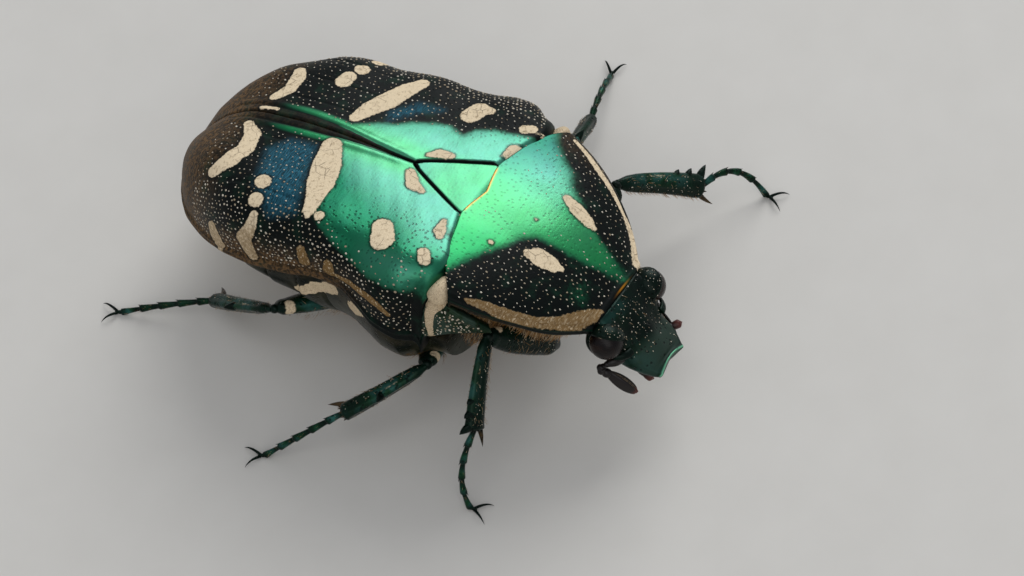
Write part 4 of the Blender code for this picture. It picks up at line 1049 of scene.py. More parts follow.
def feeler_finish():
    """Black brown of feelers and palps, redder toward their tips."""
    f = Finish("feeler_finish")
    fine = f.noise(f.place(), 12.0)
    colour = f.blend(*FEELER_COLOURS, f.field("tone").step(0.45, 1.0))
    colour = f.blend(colour, FEELER_DOWN, f.field("felt") * fine.step(0.35, 0.6))
    return f.finish(colour, fine * 0.2 + 0.28, 0.05, fine * 0.01,
                    {"Coat Weight": 0.1, "Coat Roughness": 0.25, "Specular IOR Level": 0.3})


def scale_finish(look):
    """Chalky cream of the white scales."""
    f = Finish("white_scale_finish")
    colour = f.blend(*SCALE_COLOURS, f.field("tone").step(0.1, 0.9))
    colour = f.blend(colour, look.felt_brown, f.noise(f.place(), 9.0).step(0.5, 0.75) * 0.5)
    return f.finish(colour, 0.7, 0.0)


def hair_finish(look):
    """Golden brown hair, darker at its root."""
    f = Finish("golden_hair_finish")
    tip = f.blend(look.hair, look.felt_pale, f.field("tone").step(0.3, 1.0) * 0.7)
    colour = f.blend(tuple(c * 0.3 for c in look.hair), tip, f.field("share").step(0.0, 0.5))
    return f.finish(colour, f.noise(f.place(), 6.0) * 0.2 + 0.4, 0.0)


def head_point(out, along, inward):
    """Point of the head from its distances off the midline, down the shield and under its face."""
    return HEAD_TOP + HEAD_ALONG * along + HEAD_INWARD * inward + (out, 0, 0)


def canthus(side):
    path = np.array([head_point(side * out, along, inward) for out, along, inward in CANTHUS])
    path = np.column_stack((np.arange(len(CANTHUS)), path))
    steps = np.linspace(0, len(CANTHUS) - 1, 30)
    path = np.stack([curve(path, steps, column) for column in (1, 2, 3)], 1)
    width = CANTHUS_WIDTH * np.sqrt(1 - np.linspace(0, 0.98, 30) ** 2)
    return tube(path, width, width * 0.5 + 0.03, HEAD_ALONG, 20, tone=0.3)


def eye_ball(side):
    """Ways from the middle of an eye to its points, and that middle."""
    return ball_ways(math.pi / 2 - 0.03, 48, 72), head_point(side * EYE_SIDE, EYE_ALONG, EYE_DEPTH)


def brow(side, rng):
    """Lid over the upper inner part of one eye, with roots of white scales."""
    ball, middle = eye_ball(side)
    inner, along, out = BROW_WAY
    facing = ball @ unit(HEAD_ALONG * along - HEAD_INWARD * out - np.array((side * inner, 0, 0)))
    swell = 0.1 * fade(BROW_EDGE - 0.06, BROW_EDGE + 0.1, facing)
    swell -= 0.08 * fade(BROW_EDGE, BROW_EDGE - 0.12, facing)
    lid = middle + ball * (EYE_RADIUS + 0.01 + swell[..., None])
    down = ball @ HEAD_ALONG
    chart = pair(facing * 2 + side * 5, down * 2)
    roots = one_per_cell(chart[..., 0], chart[..., 1], (0.25, 0.25), 0.45, rng)
    roots = roots[(facing.ravel()[roots] > BROW_EDGE + 0.08) & (rng.random(len(roots)) < 0.7)]
    plant("scales", roots, lid, ball, HEAD_ALONG, HEAD_SCALE, chart, body_to_world, rng)
    felt = 0.5 * hump(facing, 0.25, 0.1) * hump(down, -0.7, 0.2)
    return ring_form(lid, dict(tone=0.2, felt=felt), chart)


def head(look_material):
    """The head's shield down to the clypeus, with brows, ridges, scales and tufts before the eyes."""
    ts = np.concatenate((np.linspace(0.2, 3.5, 120), np.linspace(3.52, 3.8, 18)))
    half, deep = (curve(HEAD_PLAN, ts, column)[:, None] for column in (1, 2))
    turn = turns(128)
    share = squared(np.cos(turn), 0.7)
    up = squared(np.sin(turn), 0.8)
    centre = HEAD_TOP + HEAD_ALONG * ts[:, None] + HEAD_INWARD * (deep / 2)
    t = ts[:, None] + 0 * turn
    x = half * share
    notch = CLYPEUS_NOTCH * fade(3.2, 3.8, t) * (1 - share ** 2)
    top = np.maximum(up, 0) ** 0.5
    # Raised front and side rims of the clypeus, with a hollow behind the front one.
    lift = 0.07 * hump(t, 3.74, 0.06) * top
    lift += 0.06 * hump(np.abs(share), 0.93, 0.06) * fade(2.1, 2.6, t) * top
    lift -= 0.07 * hump(t, 3.45, 0.22) * top * (1 - share ** 4)
    # Keel down the middle between two hollows.
    lift += 0.07 * hump(x, 0, 0.28) * hump(t, 2.1, 1.0) * top
    lift -= 0.06 * hump(np.abs(x), 0.75, 0.3) * hump(t, 2.2, 0.7) * top
    # Swelling beside each eye, and the cheek drawn in below it.
    lift += 0.24 * hump(np.abs(x), 1.6, 0.4) * hump(t, 0.9, 0.6) * np.clip(up * 2.5, 0, 1)
    x = x * (1 - 0.32 * hump(t, 0.95, 0.75) * hump(deep / 2 * (1 - up), 1.1, 0.6))
    rings = centre[:, None] + x[..., None] * np.array((1.0, 0, 0)) - HEAD_ALONG * notch[..., None]
    rings = rings - HEAD_INWARD * (deep / 2 * up + lift)[..., None]
    clypeus = fade(2.0, 2.6, t) * top
    # Painted highlight: green glints painted on the right side of the head, by the eye, at its back and on
    # the clypeus.
    glint = 0.1 * hump(t, 1.0, 0.4) * hump(x, -0.8, 0.4) + 0.1 * hump(t, 0.4, 0.25) * fade(0.4, -0.4, x)
    fields = dict(
        matte=clypeus * (1 - hump(t, 3.72, 0.12)) * (0.75 + 0.15 * fade(-0.8, 0.5, x)),
        rim=hump(t, 3.75, 0.035) * (up > -0.2) * (np.abs(share) < 0.995),
        glint=glint + 0.2 * hump(t, 2.8, 0.8) * hump(share, -0.8, 0.45),
        tone=0.1 + 0.8 * fade(0.1, -1.2, x) * clypeus,
        dusty=0.3,
        felt=0.55 * hump(t, 0.5, 0.12) * hump(np.abs(x), 1.75, 0.16) * (up > 0.1),
    )
    chart = pair(x, t)
    normal = surface_normals(rings, rings - centre[:, None])
    rng = np.random.default_rng(SEEDS["head"])
    forms = [ring_form(rings, fields, chart), canthus(-1), canthus(1), brow(-1, rng), brow(1, rng)]

    def on_shield(kind, roots, size, spread=0.3):
        plant(kind, roots, rings, normal, HEAD_ALONG, size, chart, body_to_world, rng, spread)

    roots = one_per_cell(x, t, (0.17, 0.17), 0.45, rng)
    upper = np.broadcast_to(up > 0.15, t.shape)
    dense = (1 - fade(1.6, 3.2, t) * 0.97).ravel()[roots]
    roots = roots[upper.ravel()[roots] & (rng.random(len(roots)) < dense) & (t.ravel()[roots] < 3.2)]
    on_shield("scales", roots, HEAD_SCALE)
    on_shield("hairs", roots[rng.random(len(roots)) < 0.15], (0.016, 0.2, 0.08), 0.5)
    tufts = one_per_cell(x, t, (0.07, 0.07), 0.45, rng)
    by_eye = upper & (hump(t, 0.6, 0.22) * hump(np.abs(x), 1.75, 0.25) > 0.35)
    on_shield("hairs", tufts[by_eye.ravel()[tufts]], (0.03, 0.2, 0.06), 0.4)
    return dress(joined("head_shield", forms, body_to_world), look_material, "dark_shell", "head")


def eye(side, look_material):
    ball, middle = eye_ball(side)
    form = ring_form(middle + ball * (EYE_RADIUS + 0.02))
    label = side_name(side)
    return dress(joined("eye_ball_" + label, [form], body_to_world), look_material, "eye", "eye_" + label)


def antenna(side, look_material):
    """One feeler: a jointed stalk, an elbow of beads and a club of three leaves."""
    root, bend, tip = (np.array(p) * (-side, 1, 1) for p in (ANTENNA_ROOT, ANTENNA_BEND, ANTENNA_TIP))
    if side > 0:
        bend, tip = bend + LEFT_BEND_SHIFT, tip + LEFT_TIP_SHIFT
    t = np.linspace(0, 1, 90)
    stalk = bent((root - unit(bend - root) * 0.1, (root + bend) / 2 + (0, 0.04, 0.1), bend), len(t))
    width = 0.30 + 0.16 * np.sin(np.clip(t / 0.62, 0, 1) * math.pi) ** 0.8 - 0.1 * fade(0.62, 0.66, t)
    width += 0.07 * np.abs(np.sin(t * 16)) * (t > 0.64)
    forms = [tube(stalk, width, width, ANTENNA_EDGE, 24, tone=0.1)]
    u = np.linspace(0, 1, 40)
    elbow = bent((bend - unit(bend - root) * 0.08, bend + (bend - root) * 0.18, bend + (tip - bend) * 0.24),
                 len(u))
    beads = 0.3 + 0.09 * np.abs(np.sin(u * 9))
    forms.append(tube(elbow, beads, beads, ANTENNA_EDGE, 20, tone=0.15))
    along = unit(tip - bend)
    edge = unit(ANTENNA_EDGE - along * (along @ ANTENNA_EDGE))
    thin = np.cross(along, edge)
    start = bend + (tip - bend) * 0.16
    s = np.linspace(0, 1, 50)
    breadth = 0.46 * np.clip(np.sin(np.clip(s * 0.93 + 0.05, 0, 1) * math.pi), 0, 1) ** 0.45
    for place, reach, tone in CLUB_LEAVES:
        middle = (start + tip) / 2 + thin * place * 0.22
        path = bent((start, middle, bend + (tip - bend) * reach + thin * place * 0.12), len(s))
        tone = (tone + 0.6 * fade(0.75, 1, s))[:, None]
        felt = 0.6 * (place == 0) * hump(s, 0.5, 0.3)[:, None]
        forms.append(tube(path, breadth, breadth * 0.32, edge, 28, power=0.85, tone=tone, felt=felt))
    label = side_name(side)
    piece = joined("feeler_" + label, forms, body_to_world)
    return dress(piece, look_material, "feeler", "antenna_" + label)


def palp(side, look_material):
    """One small jointed palp beside the mouth."""
    t = np.linspace(0, 1, 80)
    width = 0.30 + 0.07 * np.abs(np.sin(t * math.pi * 3)) ** 0.6 - 0.3 * fade(0.84, 1.0, t) ** 2
    path = bent(PALPS[side], len(t))
    form = tube(path, width, width, np.array((1.0, 0, 0)), 24, tone=fade(0.3, 1, t)[:, None])
    label = side_name(side)
    piece = joined("mouth_palp_" + label, [form], body_to_world)
    return dress(piece, look_material, "feeler", "palp_" + label)


def belly_rings(ys, half, top, low, square, sides=96):
    """Sections of the underside: flat above, rounded below."""
    turn = np.linspace(0, math.pi, sides + 1)
    reach = squared(np.cos(turn), square[:, None])
    drop = np.sin(turn) ** 0.9
    z = top[:, None] - (top - low)[:, None] * drop
    return np.stack((half[:, None] * reach, ys[:, None] + 0 * reach, z), -1), turn, drop


def underside(look_material):
    """The belly's rings and the breast, inside the margins of the wing cases, with roots of hairs."""
    ys = np.linspace(-0.9, 13.62, 330)
    tapering = 0.1 + 0.45 * np.clip((ys - 5.4) / 3, 0, 1)
    clear = np.where(ys < ABDOMEN_START, np.where(ys < 0.5, 0.75, 0.25), tapering)
    clear = np.convolve(np.pad(clear, 8, "edge"), np.ones(17) / 17, "valid")
    half = curve(WING_MARGIN, ys) - clear
    top = curve(WING_MARGIN, ys, 2) - WING_EDGE + 0.05
    low = np.minimum(curve(BELLY_LINE, ys), top - 0.3)
    square = 0.95 + 0.25 * fade(4.9, 5.6, ys)
    rings, turn, drop = belly_rings(ys, half, top, low, square)
    y = ys[:, None] + 0 * turn
    curved = y - 0.5 * np.abs(np.cos(turn)) ** 2
    dent = 0 * y
    step = 0 * y
    for edge in STERNITES:
        dent += 0.09 * hump(curved, edge, 0.08)
        step += 0.07 * fade(edge - 1.2, edge, curved) * (curved < edge)
    # Groove down the breast's middle, and the swollen bases of the hind legs.
    dent += 0.07 * hump(rings[..., 0], 0, 0.1) * (y < 4.8) * drop
    coxa = 3.1 + 1.6 * np.abs(rings[..., 0]) / 5
    dent += 0.12 * hump(y, coxa, 0.09) * (drop > 0.25) - 0.1 * hump(y, coxa + 0.7, 0.5) * (drop > 0.25)
    away = rings - np.stack((0 * y, y, np.broadcast_to(top[:, None] - 0.6, y.shape)), -1)
    away /= np.linalg.norm(away, axis=-1, keepdims=True)
    rings = rings + away * ((step - dent) * fade(0.0, 0.15, drop))[..., None]
    side = np.abs(np.cos(turn))
    patches = sum(hump(curved, edge - 0.45, 0.3) for edge in STERNITES[1:]) * hump(side, 0.82, 0.12)
    patches = np.where(side < 0.9, patches, 0)
    flank = chain_reach(y, rings[..., 2], SIDE_MARKS) * np.where(side > 0.3, 1, -1)
    patches = np.maximum(patches, fade(-0.05, 0.05, flank))
    patches = np.maximum(patches, 0.66 * hump(y, 1.0, 1.9) * hump(side, 0.72, 0.28))
    fields = dict(felt=np.clip(patches, 0, 1), dusty=0.35 + 0.6 * fade(2.2, 1.6, y), tone=0.5 * drop,
                  # Painted highlight: faint green glints painted over the underside, strongest on its lowest
                  # part.
                  glint=0.12 * drop, worn=0.2)
    chart = pair(turn * half[:, None], y)
    piece = joined("underside_plates", [ring_form(rings, fields, chart)], body_to_world)
    rng = np.random.default_rng(SEEDS["underside"])
    roots = one_per_cell(chart[..., 0], y, (0.17, 0.2), 0.45, rng)
    hairy = (side > 0.2) & (drop > 0.62) & (y < 12.6)
    thin = np.where(y < 5, 0.7, 0.3)
    roots = roots[hairy.ravel()[roots] & (rng.random(len(roots)) < thin.ravel()[roots])]
    plant("hairs", roots, rings, surface_normals(rings, away), np.array((0, 1.0, -0.2)), (0.02, 0.34, 0.16),
          chart, body_to_world, rng)
    return dress(piece, look_material, "dark_shell", "thorax", "abdomen", "pygidium")


def throat(look_material):
    """Underside of the fore body, with its fringe of long golden hairs."""
    ys = np.linspace(-5.2, -0.8, 110)
    s = np.clip((ys + 4.75) / 3.5, 0, 1)
    half = 1.9 + 2.1 * s ** 0.8 - 0.4 * fade(-4.8, -5.2, ys)
    ceiling = np.interp(-ys, *zip(*THROAT_TOP)) - 0.28
    low = curve(BELLY_LINE, ys) + 0.3 * (1 - s)
    rings, turn, drop = belly_rings(ys, half, ceiling, low, np.full(len(ys), 0.7), 80)
    y = ys[:, None] + 0 * turn
    dent = 0.06 * hump(np.abs(np.cos(turn)), 0.6, 0.05) * drop
    away = rings - np.stack((0 * y, y, np.broadcast_to(ceiling[:, None] - 1.0, y.shape)), -1)
    away /= np.linalg.norm(away, axis=-1, keepdims=True)
    rings = rings - away * dent[..., None]
    felt = 0.8 * fade(0.97, 0.75, drop) * hump(y, -3.0, 1.9)
    chart = pair(turn * LIMB_GIRTH, y)
    # Painted highlight: faint green glints painted over the skin.
    form = ring_form(rings, dict(felt=felt, dusty=0.95, tone=0.3, glint=0.1, worn=0.5), chart)
    piece = joined("prothorax_underside", [form], body_to_world)
    rng = np.random.default_rng(SEEDS["throat"])
    roots = one_per_cell(chart[..., 0], y, (0.1, 0.1), 0.45, rng)
    hairy = np.broadcast_to((drop > 0.03) & (drop < 0.97), y.shape).ravel()[roots]
    share = np.broadcast_to(np.where(drop < 0.55, 1.0, 0.5), y.shape).ravel()[roots]
    roots = roots[hairy & (rng.random(len(roots)) < share)]
    plant("hairs", roots, rings, surface_normals(rings, away), np.array((0, 0.4, -1.0)), (0.03, 0.55, 0.26),
          chart, body_to_world, rng)
    return dress(piece, look_material, "dark_shell", "prosternum")


def side_plate(side, look_material):
    """Plate behind the pronotum's hind corner, with its felt stripe and swollen felt top."""
    rim = np.array(SIDE_PLATE_RIM) * (side, 1, 1)
    corners = np.linspace(0, len(rim), 121)[:-1]
    loop = np.concatenate((rim, rim[:1]))
    rim = np.stack([np.interp(corners, range(len(loop)), loop[:, c]) for c in range(3)], 1)
    for _ in range(3):
        rim = (np.roll(rim, 1, 0) + 2 * rim + np.roll(rim, -1, 0)) / 4
    inward = rim.mean(0) - rim
    rings = [rim + inward * share - (side * PLATE_THICKNESS, 0, 0) for share in (0.9, 0.12)]
    for share in np.concatenate((np.linspace(-0.06, 0.05, 5), np.linspace(0.09, 0.98, 30))):
        swell = 0.1 * (1 - (1 - np.clip(share, 0, 1)) ** 3) - 0.05 * (share < 0)
        rings.append(rim + inward * share + (side * swell, 0, 0))
    rings = np.array(rings)
    y, z = rings[..., 1], rings[..., 2]
    chart = pair(y, z)
    felt = chain_reach(y, z, (PLATE_MARK,))
    # Painted highlight: faint green glints painted over the skin.
    fields = dict(felt=fade(-0.05, 0.05, felt), dusty=0.42, tone=0.5, glint=0.15, worn=0.15)
    cap = squared(ball_ways(1.45, 30, 60), 0.85)
    rise = np.maximum(cap[..., 2:], 0)
    cap = cap * np.where(np.arange(3) == 1, 1 - 0.5 * rise, 1) - rise * (0, 0.3, 0)
    cap = cap * PLATE_TOP_RADII + np.array(PLATE_TOP) * (side, 1, 1)
    top = ring_form(cap, dict(felt=1, dusty=0.4), pair(cap[..., 1] + 3, cap[..., 2]))
    label = side_name(side)
    piece = joined("side_plate_" + label, [ring_form(rings, fields, chart), top], body_to_world)
    rng = np.random.default_rng(SEEDS["side_plate"] + side)
    outward = np.broadcast_to(np.array((side, 0, 0.2)) / 1.02, rings.shape)
    roots = one_per_cell(y, z, (0.16, 0.16), 0.45, rng)
    bare = (felt < -0.05) & (np.arange(len(rings))[:, None] > 6)
    plant("scales", roots[bare.ravel()[roots]], rings, outward, BACKWARD, (0.06, 0.09, 0.03), chart,
          body_to_world, rng)
    return dress(piece, look_material, "cream_felt", "mesepimeron_" + label)


def grow(rng, path, edge, width, girth, share, size, lie, spread=0.35, kind="hairs"):
    """Plants growth round a limb, on a share of the points of its rings."""
    rings = tube_rings(path, width, width, edge, girth)
    away = rings - rings.mean(1, keepdims=True)
    away /= np.linalg.norm(away, axis=-1, keepdims=True)
    chart = pair(np.linspace(0, LIMB_GIRTH, girth), np.linspace(0, 5, len(path))[:, None])
    chosen = (rng.random(rings.shape[:2]) < share).ravel()
    plant(kind, chosen, rings, away, lie, size, chart, stance_to_world, rng, spread)


def thigh(label, look_material, hip, knee, outer, wide, deep, slim, rng):
    """Femur and the ball of its knee."""
    along = unit(knee - hip)
    shares = np.linspace(-0.15, 1, 90)
    path = hip + (knee - along * 0.1 - hip) * shares[:, None]
    shape = curve(FEMUR_SHAPE, shares)
    turn = turns(40)
    knee_patch = hump(shares, 0.9, 0.05)[:, None] * np.clip(np.cos(turn) * 1.6 - 0.3, 0, 1)
    # Painted highlight: a green glint painted along the outer side of the femur.
    glint = 0.35 * np.clip(np.cos(turn), 0, 1) * hump(shares, 0.7, 0.15)[:, None]
    relief = 0.02 * np.sin(turn * 2 + shares[:, None] * 3)
    limb = tube(path, wide * shape, deep * shape, outer, 40, relief, 0.92, felt=knee_patch, dusty=0.3,
                tone=0.4, glint=glint)
    bulge = slim * np.sqrt(1 - np.linspace(-0.97, 0.97, 16) ** 2)
    ball = knee + along * np.linspace(-0.26, 0.14, 16)[:, None]
    ball = tube(ball, bulge * 0.8, bulge * 0.72, outer, 20, tone=0.2)
    piece = joined("thigh_" + label, [limb, ball], stance_to_world)
    dress(piece, look_material, "dark_shell", "femur_" + label)
    grow(rng, path[12:70], outer, wide * shape[12:70] * 0.9, 26, 0.11, (0.022, 0.32, 0.16),
         along - unit(outer) * 0.6)
    grow(rng, path[12:78], outer, wide * shape[12:78] * 0.94, 30, 0.04, (0.032, 0.06, 0.015), along,
         kind="scales")


def shin(label, look_material, knee, ankle, outer, slim, broad, teeth, spurs, rng):
    """Tibia with its outer teeth, the spurs and the ring of bristles at its end."""
    along = unit(ankle - knee)
    edge = unit(outer - along * (outer @ along))
    thin = np.cross(along, edge)
    turn = turns(40)
    t = np.linspace(0, 1, 120)
    down = t[:, None]
    path = knee + (ankle - knee) * down + edge * (0.10 * np.sin(t * math.pi))[:, None]
    width = (slim + (broad - slim) * t ** 0.8) * (0.62 + 0.38 * fade(0.0, 0.14, t))
    width = width * (1 - 0.25 * fade(0.97, 1.0, t))
    ridge = 0.035 * np.cos(turn * 4) * fade(0.1, 0.25, down) * (1 - fade(0.9, 1, down))
    forms = [tube(path, width, width * 0.72, edge, 40, ridge, 0.9, tone=0.45, dusty=0.4,
                  # Painted highlight: a green glint painted down one side of the tibia.
                  glint=0.3 * np.clip(np.cos(turn - 0.6), 0, 1) * hump(down, 0.5, 0.3),
                  felt=0.42 * hump(np.cos(turn), 0.8, 0.2) * hump(down, 0.4, 0.3))]
    length = np.linalg.norm(ankle - knee)
    for where, size in teeth:
        wide_here = slim + (broad - slim) * where ** 0.8
        root = knee + along * (length * where) + edge * (wide_here * 0.2 + 0.08)
        tip = root + edge * (wide_here * 0.3 + size) + along * (size * 0.75)
        forms.append(spine(root - along * 0.08, tip, edge * 0.05, 0.2, 16, tone=0.2))
    offsets = (0,) if len(spurs) == 1 else (-1, 1)
    for size, offset in zip(spurs, offsets):
        root = ankle - along * 0.28 - edge * (broad * 0.22) + thin * (0.16 * offset)
        tip = root + along * (size + 0.1) - edge * 0.5 + thin * (0.2 * offset)
        forms.append(spine(root, tip, -edge * 0.05, 0.13, 12, worn=0.5))
    for bristle in turns(9):
        way = edge * math.cos(bristle) + thin * math.sin(bristle)
        flat_way = edge * math.cos(bristle) + thin * math.sin(bristle) * 0.72
        root = ankle - along * 0.1 + flat_way * broad * 0.36
        forms.append(spine(root, root + along * 0.2 + way * 0.05, along * 0.0, 0.05, 6, 6, worn=0.4))
    dress(joined("shin_" + label, forms, stance_to_world), look_material, "dark_shell", "tibia_" + label)
    grow(rng, path[10:112], edge, width[10:112] * 0.86, 30, 0.055, (0.026, 0.046, 0.015), along,
         kind="scales")
    grow(rng, path[8:115], edge, width[8:115] * 0.84, 30, 0.025, (0.016, 0.18, 0.08), along - edge * 0.3,
         0.5)
    # Denser bristles down the inner edge.
    inner = tube_rings(path[10:110], width[10:110], width[10:110] * 0.72, edge, 40)[:, 17:24]
    chosen = (rng.random(inner.shape[:2]) < 0.18).ravel()
    chart = pair(np.linspace(0, 1, 7), np.linspace(5, 10, 100)[:, None])
    plant("hairs", chosen, inner, np.broadcast_to(-edge, inner.shape), along, (0.02, 0.24, 0.2), chart,
          stance_to_world, rng)


def toes(label, look_material, ankle, foot, sag, rng):
    """Tarsus of five joints with fine bristles, and a pair of claws flat on the floor."""
    toward = unit(foot - ankle)
    middle = (ankle + toward * 0.5 + foot) / 2 + sag * 2
    ahead = unit((foot - middle) * (1, 1, 0))
    side = np.cross(UP, ahead)
    t = np.linspace(0, 1, 200)
    path = bent((ankle + toward * 0.04, middle, foot), len(t))
    spread = t ** JOINT_POWER * TARSOMERES
    joint = spread % 1.0
    width = 0.24 + 0.15 * joint ** 1.3 - 0.12 * fade(0.88, 1.0, joint)
    width = np.where(spread > TARSOMERES - 1, 0.2 + 0.14 * joint ** 1.2, width) * (1 - 0.06 * t)
    beyond = np.linspace(0.02, 0.3, 16)[:, None]
    path = np.concatenate((path, foot + ahead * beyond))
    width = np.concatenate((width, width[-1] * np.sqrt(1 - np.linspace(0.05, 0.96, len(beyond)) ** 2)))
    # Painted highlight: a green glint painted as a band on each joint of the tarsus.
    glint = 0.35 * hump(np.concatenate((joint, np.zeros(len(beyond)))), 0.55, 0.25)
    forms = [tube(path, width, width * 0.86, UP, 24, tone=0.4, glint=glint[:, None])]
    for k in range(1, TARSOMERES):
        place = int((k / TARSOMERES) ** (1 / JOINT_POWER) * (len(t) - 1)) - 4
        way = unit(path[place + 4] - path[place - 4])
        cross = unit(np.cross(way, UP))
        for turned in (2.4, -2.4):
            out = cross * math.sin(turned) - np.cross(cross, way) * math.cos(turned)
            root = path[place] + out * 0.13
            forms.append(spine(root, root + way * 0.16 + out * 0.05, out * 0.0, 0.025, 6, 6, tone=0.2))
    for turned in (-CLAW_SPREAD, CLAW_SPREAD):
        reach = ahead * math.cos(turned) + side * math.sin(turned)
        root = foot + ahead * 0.2 + side * math.copysign(0.05, turned)
        tip = root + reach * CLAW_LENGTH
        tip[2] = 0.03
        forms.append(spine(root, tip, UP * 0.16 + reach * 0.06, 0.062, 14, 24, tone=0.1))
    for points, _, _, _ in forms:
        points[:, 2] = np.maximum(points[:, 2], 0.0)
    dress(joined("toes_" + label, forms, stance_to_world), look_material, "dark_shell", "tarsus_" + label)
    grow(rng, path[10:190], UP, width[10:190] * 0.85, 16, 0.02, (0.014, 0.14, 0.05), toward, 0.4)


def leg(label, look_material):
    """One leg's three pieces, from the hip in the leaning body to the foot on the floor."""
    hip, knee, ankle, foot, sag, (wide, deep), (slim, broad), teeth, spurs = LEGS[label]
    hip = body_to_world(np.array(hip)) / MM - STANCE
    knee, ankle, foot, sag = (np.array(v, float) for v in (knee, ankle, foot, sag))
    outer = knee - (hip + ankle) / 2
    rng = np.random.default_rng(SEEDS["leg"] + list(LEGS).index(label))
    thigh(label, look_material, hip, knee, outer, wide, deep, slim, rng)
    shin(label, look_material, knee, ankle, outer, slim, broad, teeth, spurs, rng)
    toes(label, look_material, ankle, foot, sag, rng)


# How much single hairs and scales differ in size, and the patch of the OFBake chart that each has.
SIZE_VARIATION = 0.2
PATCH_SIZE = 0.003


def scatter_tree():
    """Geometry nodes that set a template on every root, turned to its skin and to its lie."""
    tree = bpy.data.node_groups.new("scatter", "GeometryNodeTree")
    for name, kind in (("Roots", "NodeSocketGeometry"), ("Template", "NodeSocketObject"),
                       ("Finish", "NodeSocketMaterial"), ("Thickness", "NodeSocketFloat"),
                       ("Length", "NodeSocketFloat"), ("Variation", "NodeSocketFloat"),
                       ("Patch", "NodeSocketFloat"), ("Seed", "NodeSocketInt")):
        tree.interface.new_socket(name, in_out="INPUT", socket_type=kind)
    tree.interface.new_socket("Growth", in_out="OUTPUT", socket_type="NodeSocketGeometry")

    def node(kind, settings=None, values=None):
        made = tree.nodes.new(kind)
        for key, value in (settings or {}).items():
            setattr(made, key, value)
        for key, value in (values or {}).items():
            socket = made.inputs[key]
            if isinstance(key, str):
                socket = next(each for each in made.inputs if each.enabled and each.name == key)
            if isinstance(value, bpy.types.NodeSocket):
                tree.links.new(value, socket)
            else:
                socket.default_value = value
        return made

    def named(name):
        made = node("GeometryNodeInputNamedAttribute", dict(data_type="FLOAT_VECTOR"), {"Name": name})
        return made.outputs["Attribute"]

    given = node("NodeGroupInput").outputs
    rotation = node("FunctionNodeAxesToRotation", dict(primary_axis="Z", secondary_axis="Y"),
                    {"Primary Axis": named("skin_way"), "Secondary Axis": named("lie")})
    low = node("ShaderNodeMath", dict(operation="SUBTRACT"), {0: 1.0, 1: given["Variation"]})
    high = node("ShaderNodeMath", dict(operation="ADD"), {0: 1.0, 1: given["Variation"]})
    varied = node("FunctionNodeRandomValue", dict(data_type="FLOAT"),
                  {"Min": low.outputs[0], "Max": high.outputs[0], "Seed": given["Seed"]})
    drawn = next(each for each in varied.outputs if each.enabled)
    stretch = node("ShaderNodeCombineXYZ", None,
                   {"X": given["Thickness"], "Y": given["Length"], "Z": given["Length"]})
    size = node("ShaderNodeVectorMath", dict(operation="MULTIPLY"),
                {0: named("size"), 1: stretch.outputs[0]})
    size = node("ShaderNodeVectorMath", dict(operation="SCALE"), {"Vector": size.outputs[0], "Scale": drawn})
    template = node("GeometryNodeObjectInfo", None, {"Object": given["Template"]})
    grown = node("GeometryNodeInstanceOnPoints", None, {
        "Points": given["Roots"], "Instance": template.outputs["Geometry"],
        "Rotation": rotation.outputs[0], "Scale": size.outputs[0]})
    real = node("GeometryNodeRealizeInstances", None, {"Geometry": grown.outputs[0]})
    patch = node("ShaderNodeVectorMath", dict(operation="SCALE"),
                 {"Vector": named("patch"), "Scale": given["Patch"]})
    place = node("ShaderNodeVectorMath", dict(operation="ADD"),
                 {0: named("root_place"), 1: patch.outputs[0]})
    stored = node("GeometryNodeStoreNamedAttribute", dict(data_type="FLOAT2", domain="CORNER"),
                  {"Geometry": real.outputs[0], "Name": "OFBake", "Value": place.outputs[0]})
    finished = node("GeometryNodeSetMaterial", None,
                    {"Geometry": stored.outputs[0], "Material": given["Finish"]})
    result = tree.nodes.new("NodeGroupOutput")
    tree.links.new(finished.outputs[0], result.inputs[0])
    return tree


def template_object(name, rings, shares):
    """Template of one hair or scale, with its length's share and its patch's place at each point."""
    points, faces, _, _ = ring_form(rings)
    made = mesh_object(name, points, faces, {"share": shares})
    patch = made.data.attributes.new("patch", "FLOAT_VECTOR", "POINT")
    places = np.stack((points[:, 0] / (np.ptp(points[:, 0]) or 1) * 0.5 + 0.5, shares, 0 * shares), 1)
    patch.data.foreach_set("vector", places.astype(np.float32).ravel())
    return made


def hair_template():
    """Three-sided hair of unit width and length that rises and bows over to its tip."""
    t = np.array((0.0, 0.3, 0.62, 0.9))
    turn = turns(3)
    radius = 0.5 * (1 - t ** 1.5 * 0.85)[:, None]
    thin = radius * 0.04 * np.sin(turn)
    rings = np.stack((radius * np.cos(turn), t[:, None] ** 1.5 + thin,
                      (t - 0.1 * t ** 3)[:, None] - 0.06 - thin), -1)
    return template_object("hair_template", rings, np.concatenate((np.repeat(t, len(turn)), (0, 1))))


def scale_template():
    """Seven-sided scale of unit width and length, sunk in its pit by half its height."""
    turn = turns(7)
    rings = np.stack([np.stack((0.5 * reach * np.cos(turn), 0.5 * reach * np.sin(turn), z + 0 * turn), 1)
                      for reach, z in ((0.8, -0.5), (1.0, 0.15), (0.7, 0.8))])
    shares = np.concatenate((np.repeat((0.0, 0.5, 1.0), len(turn)), (0, 1)))
    return template_object("scale_template", rings, shares)


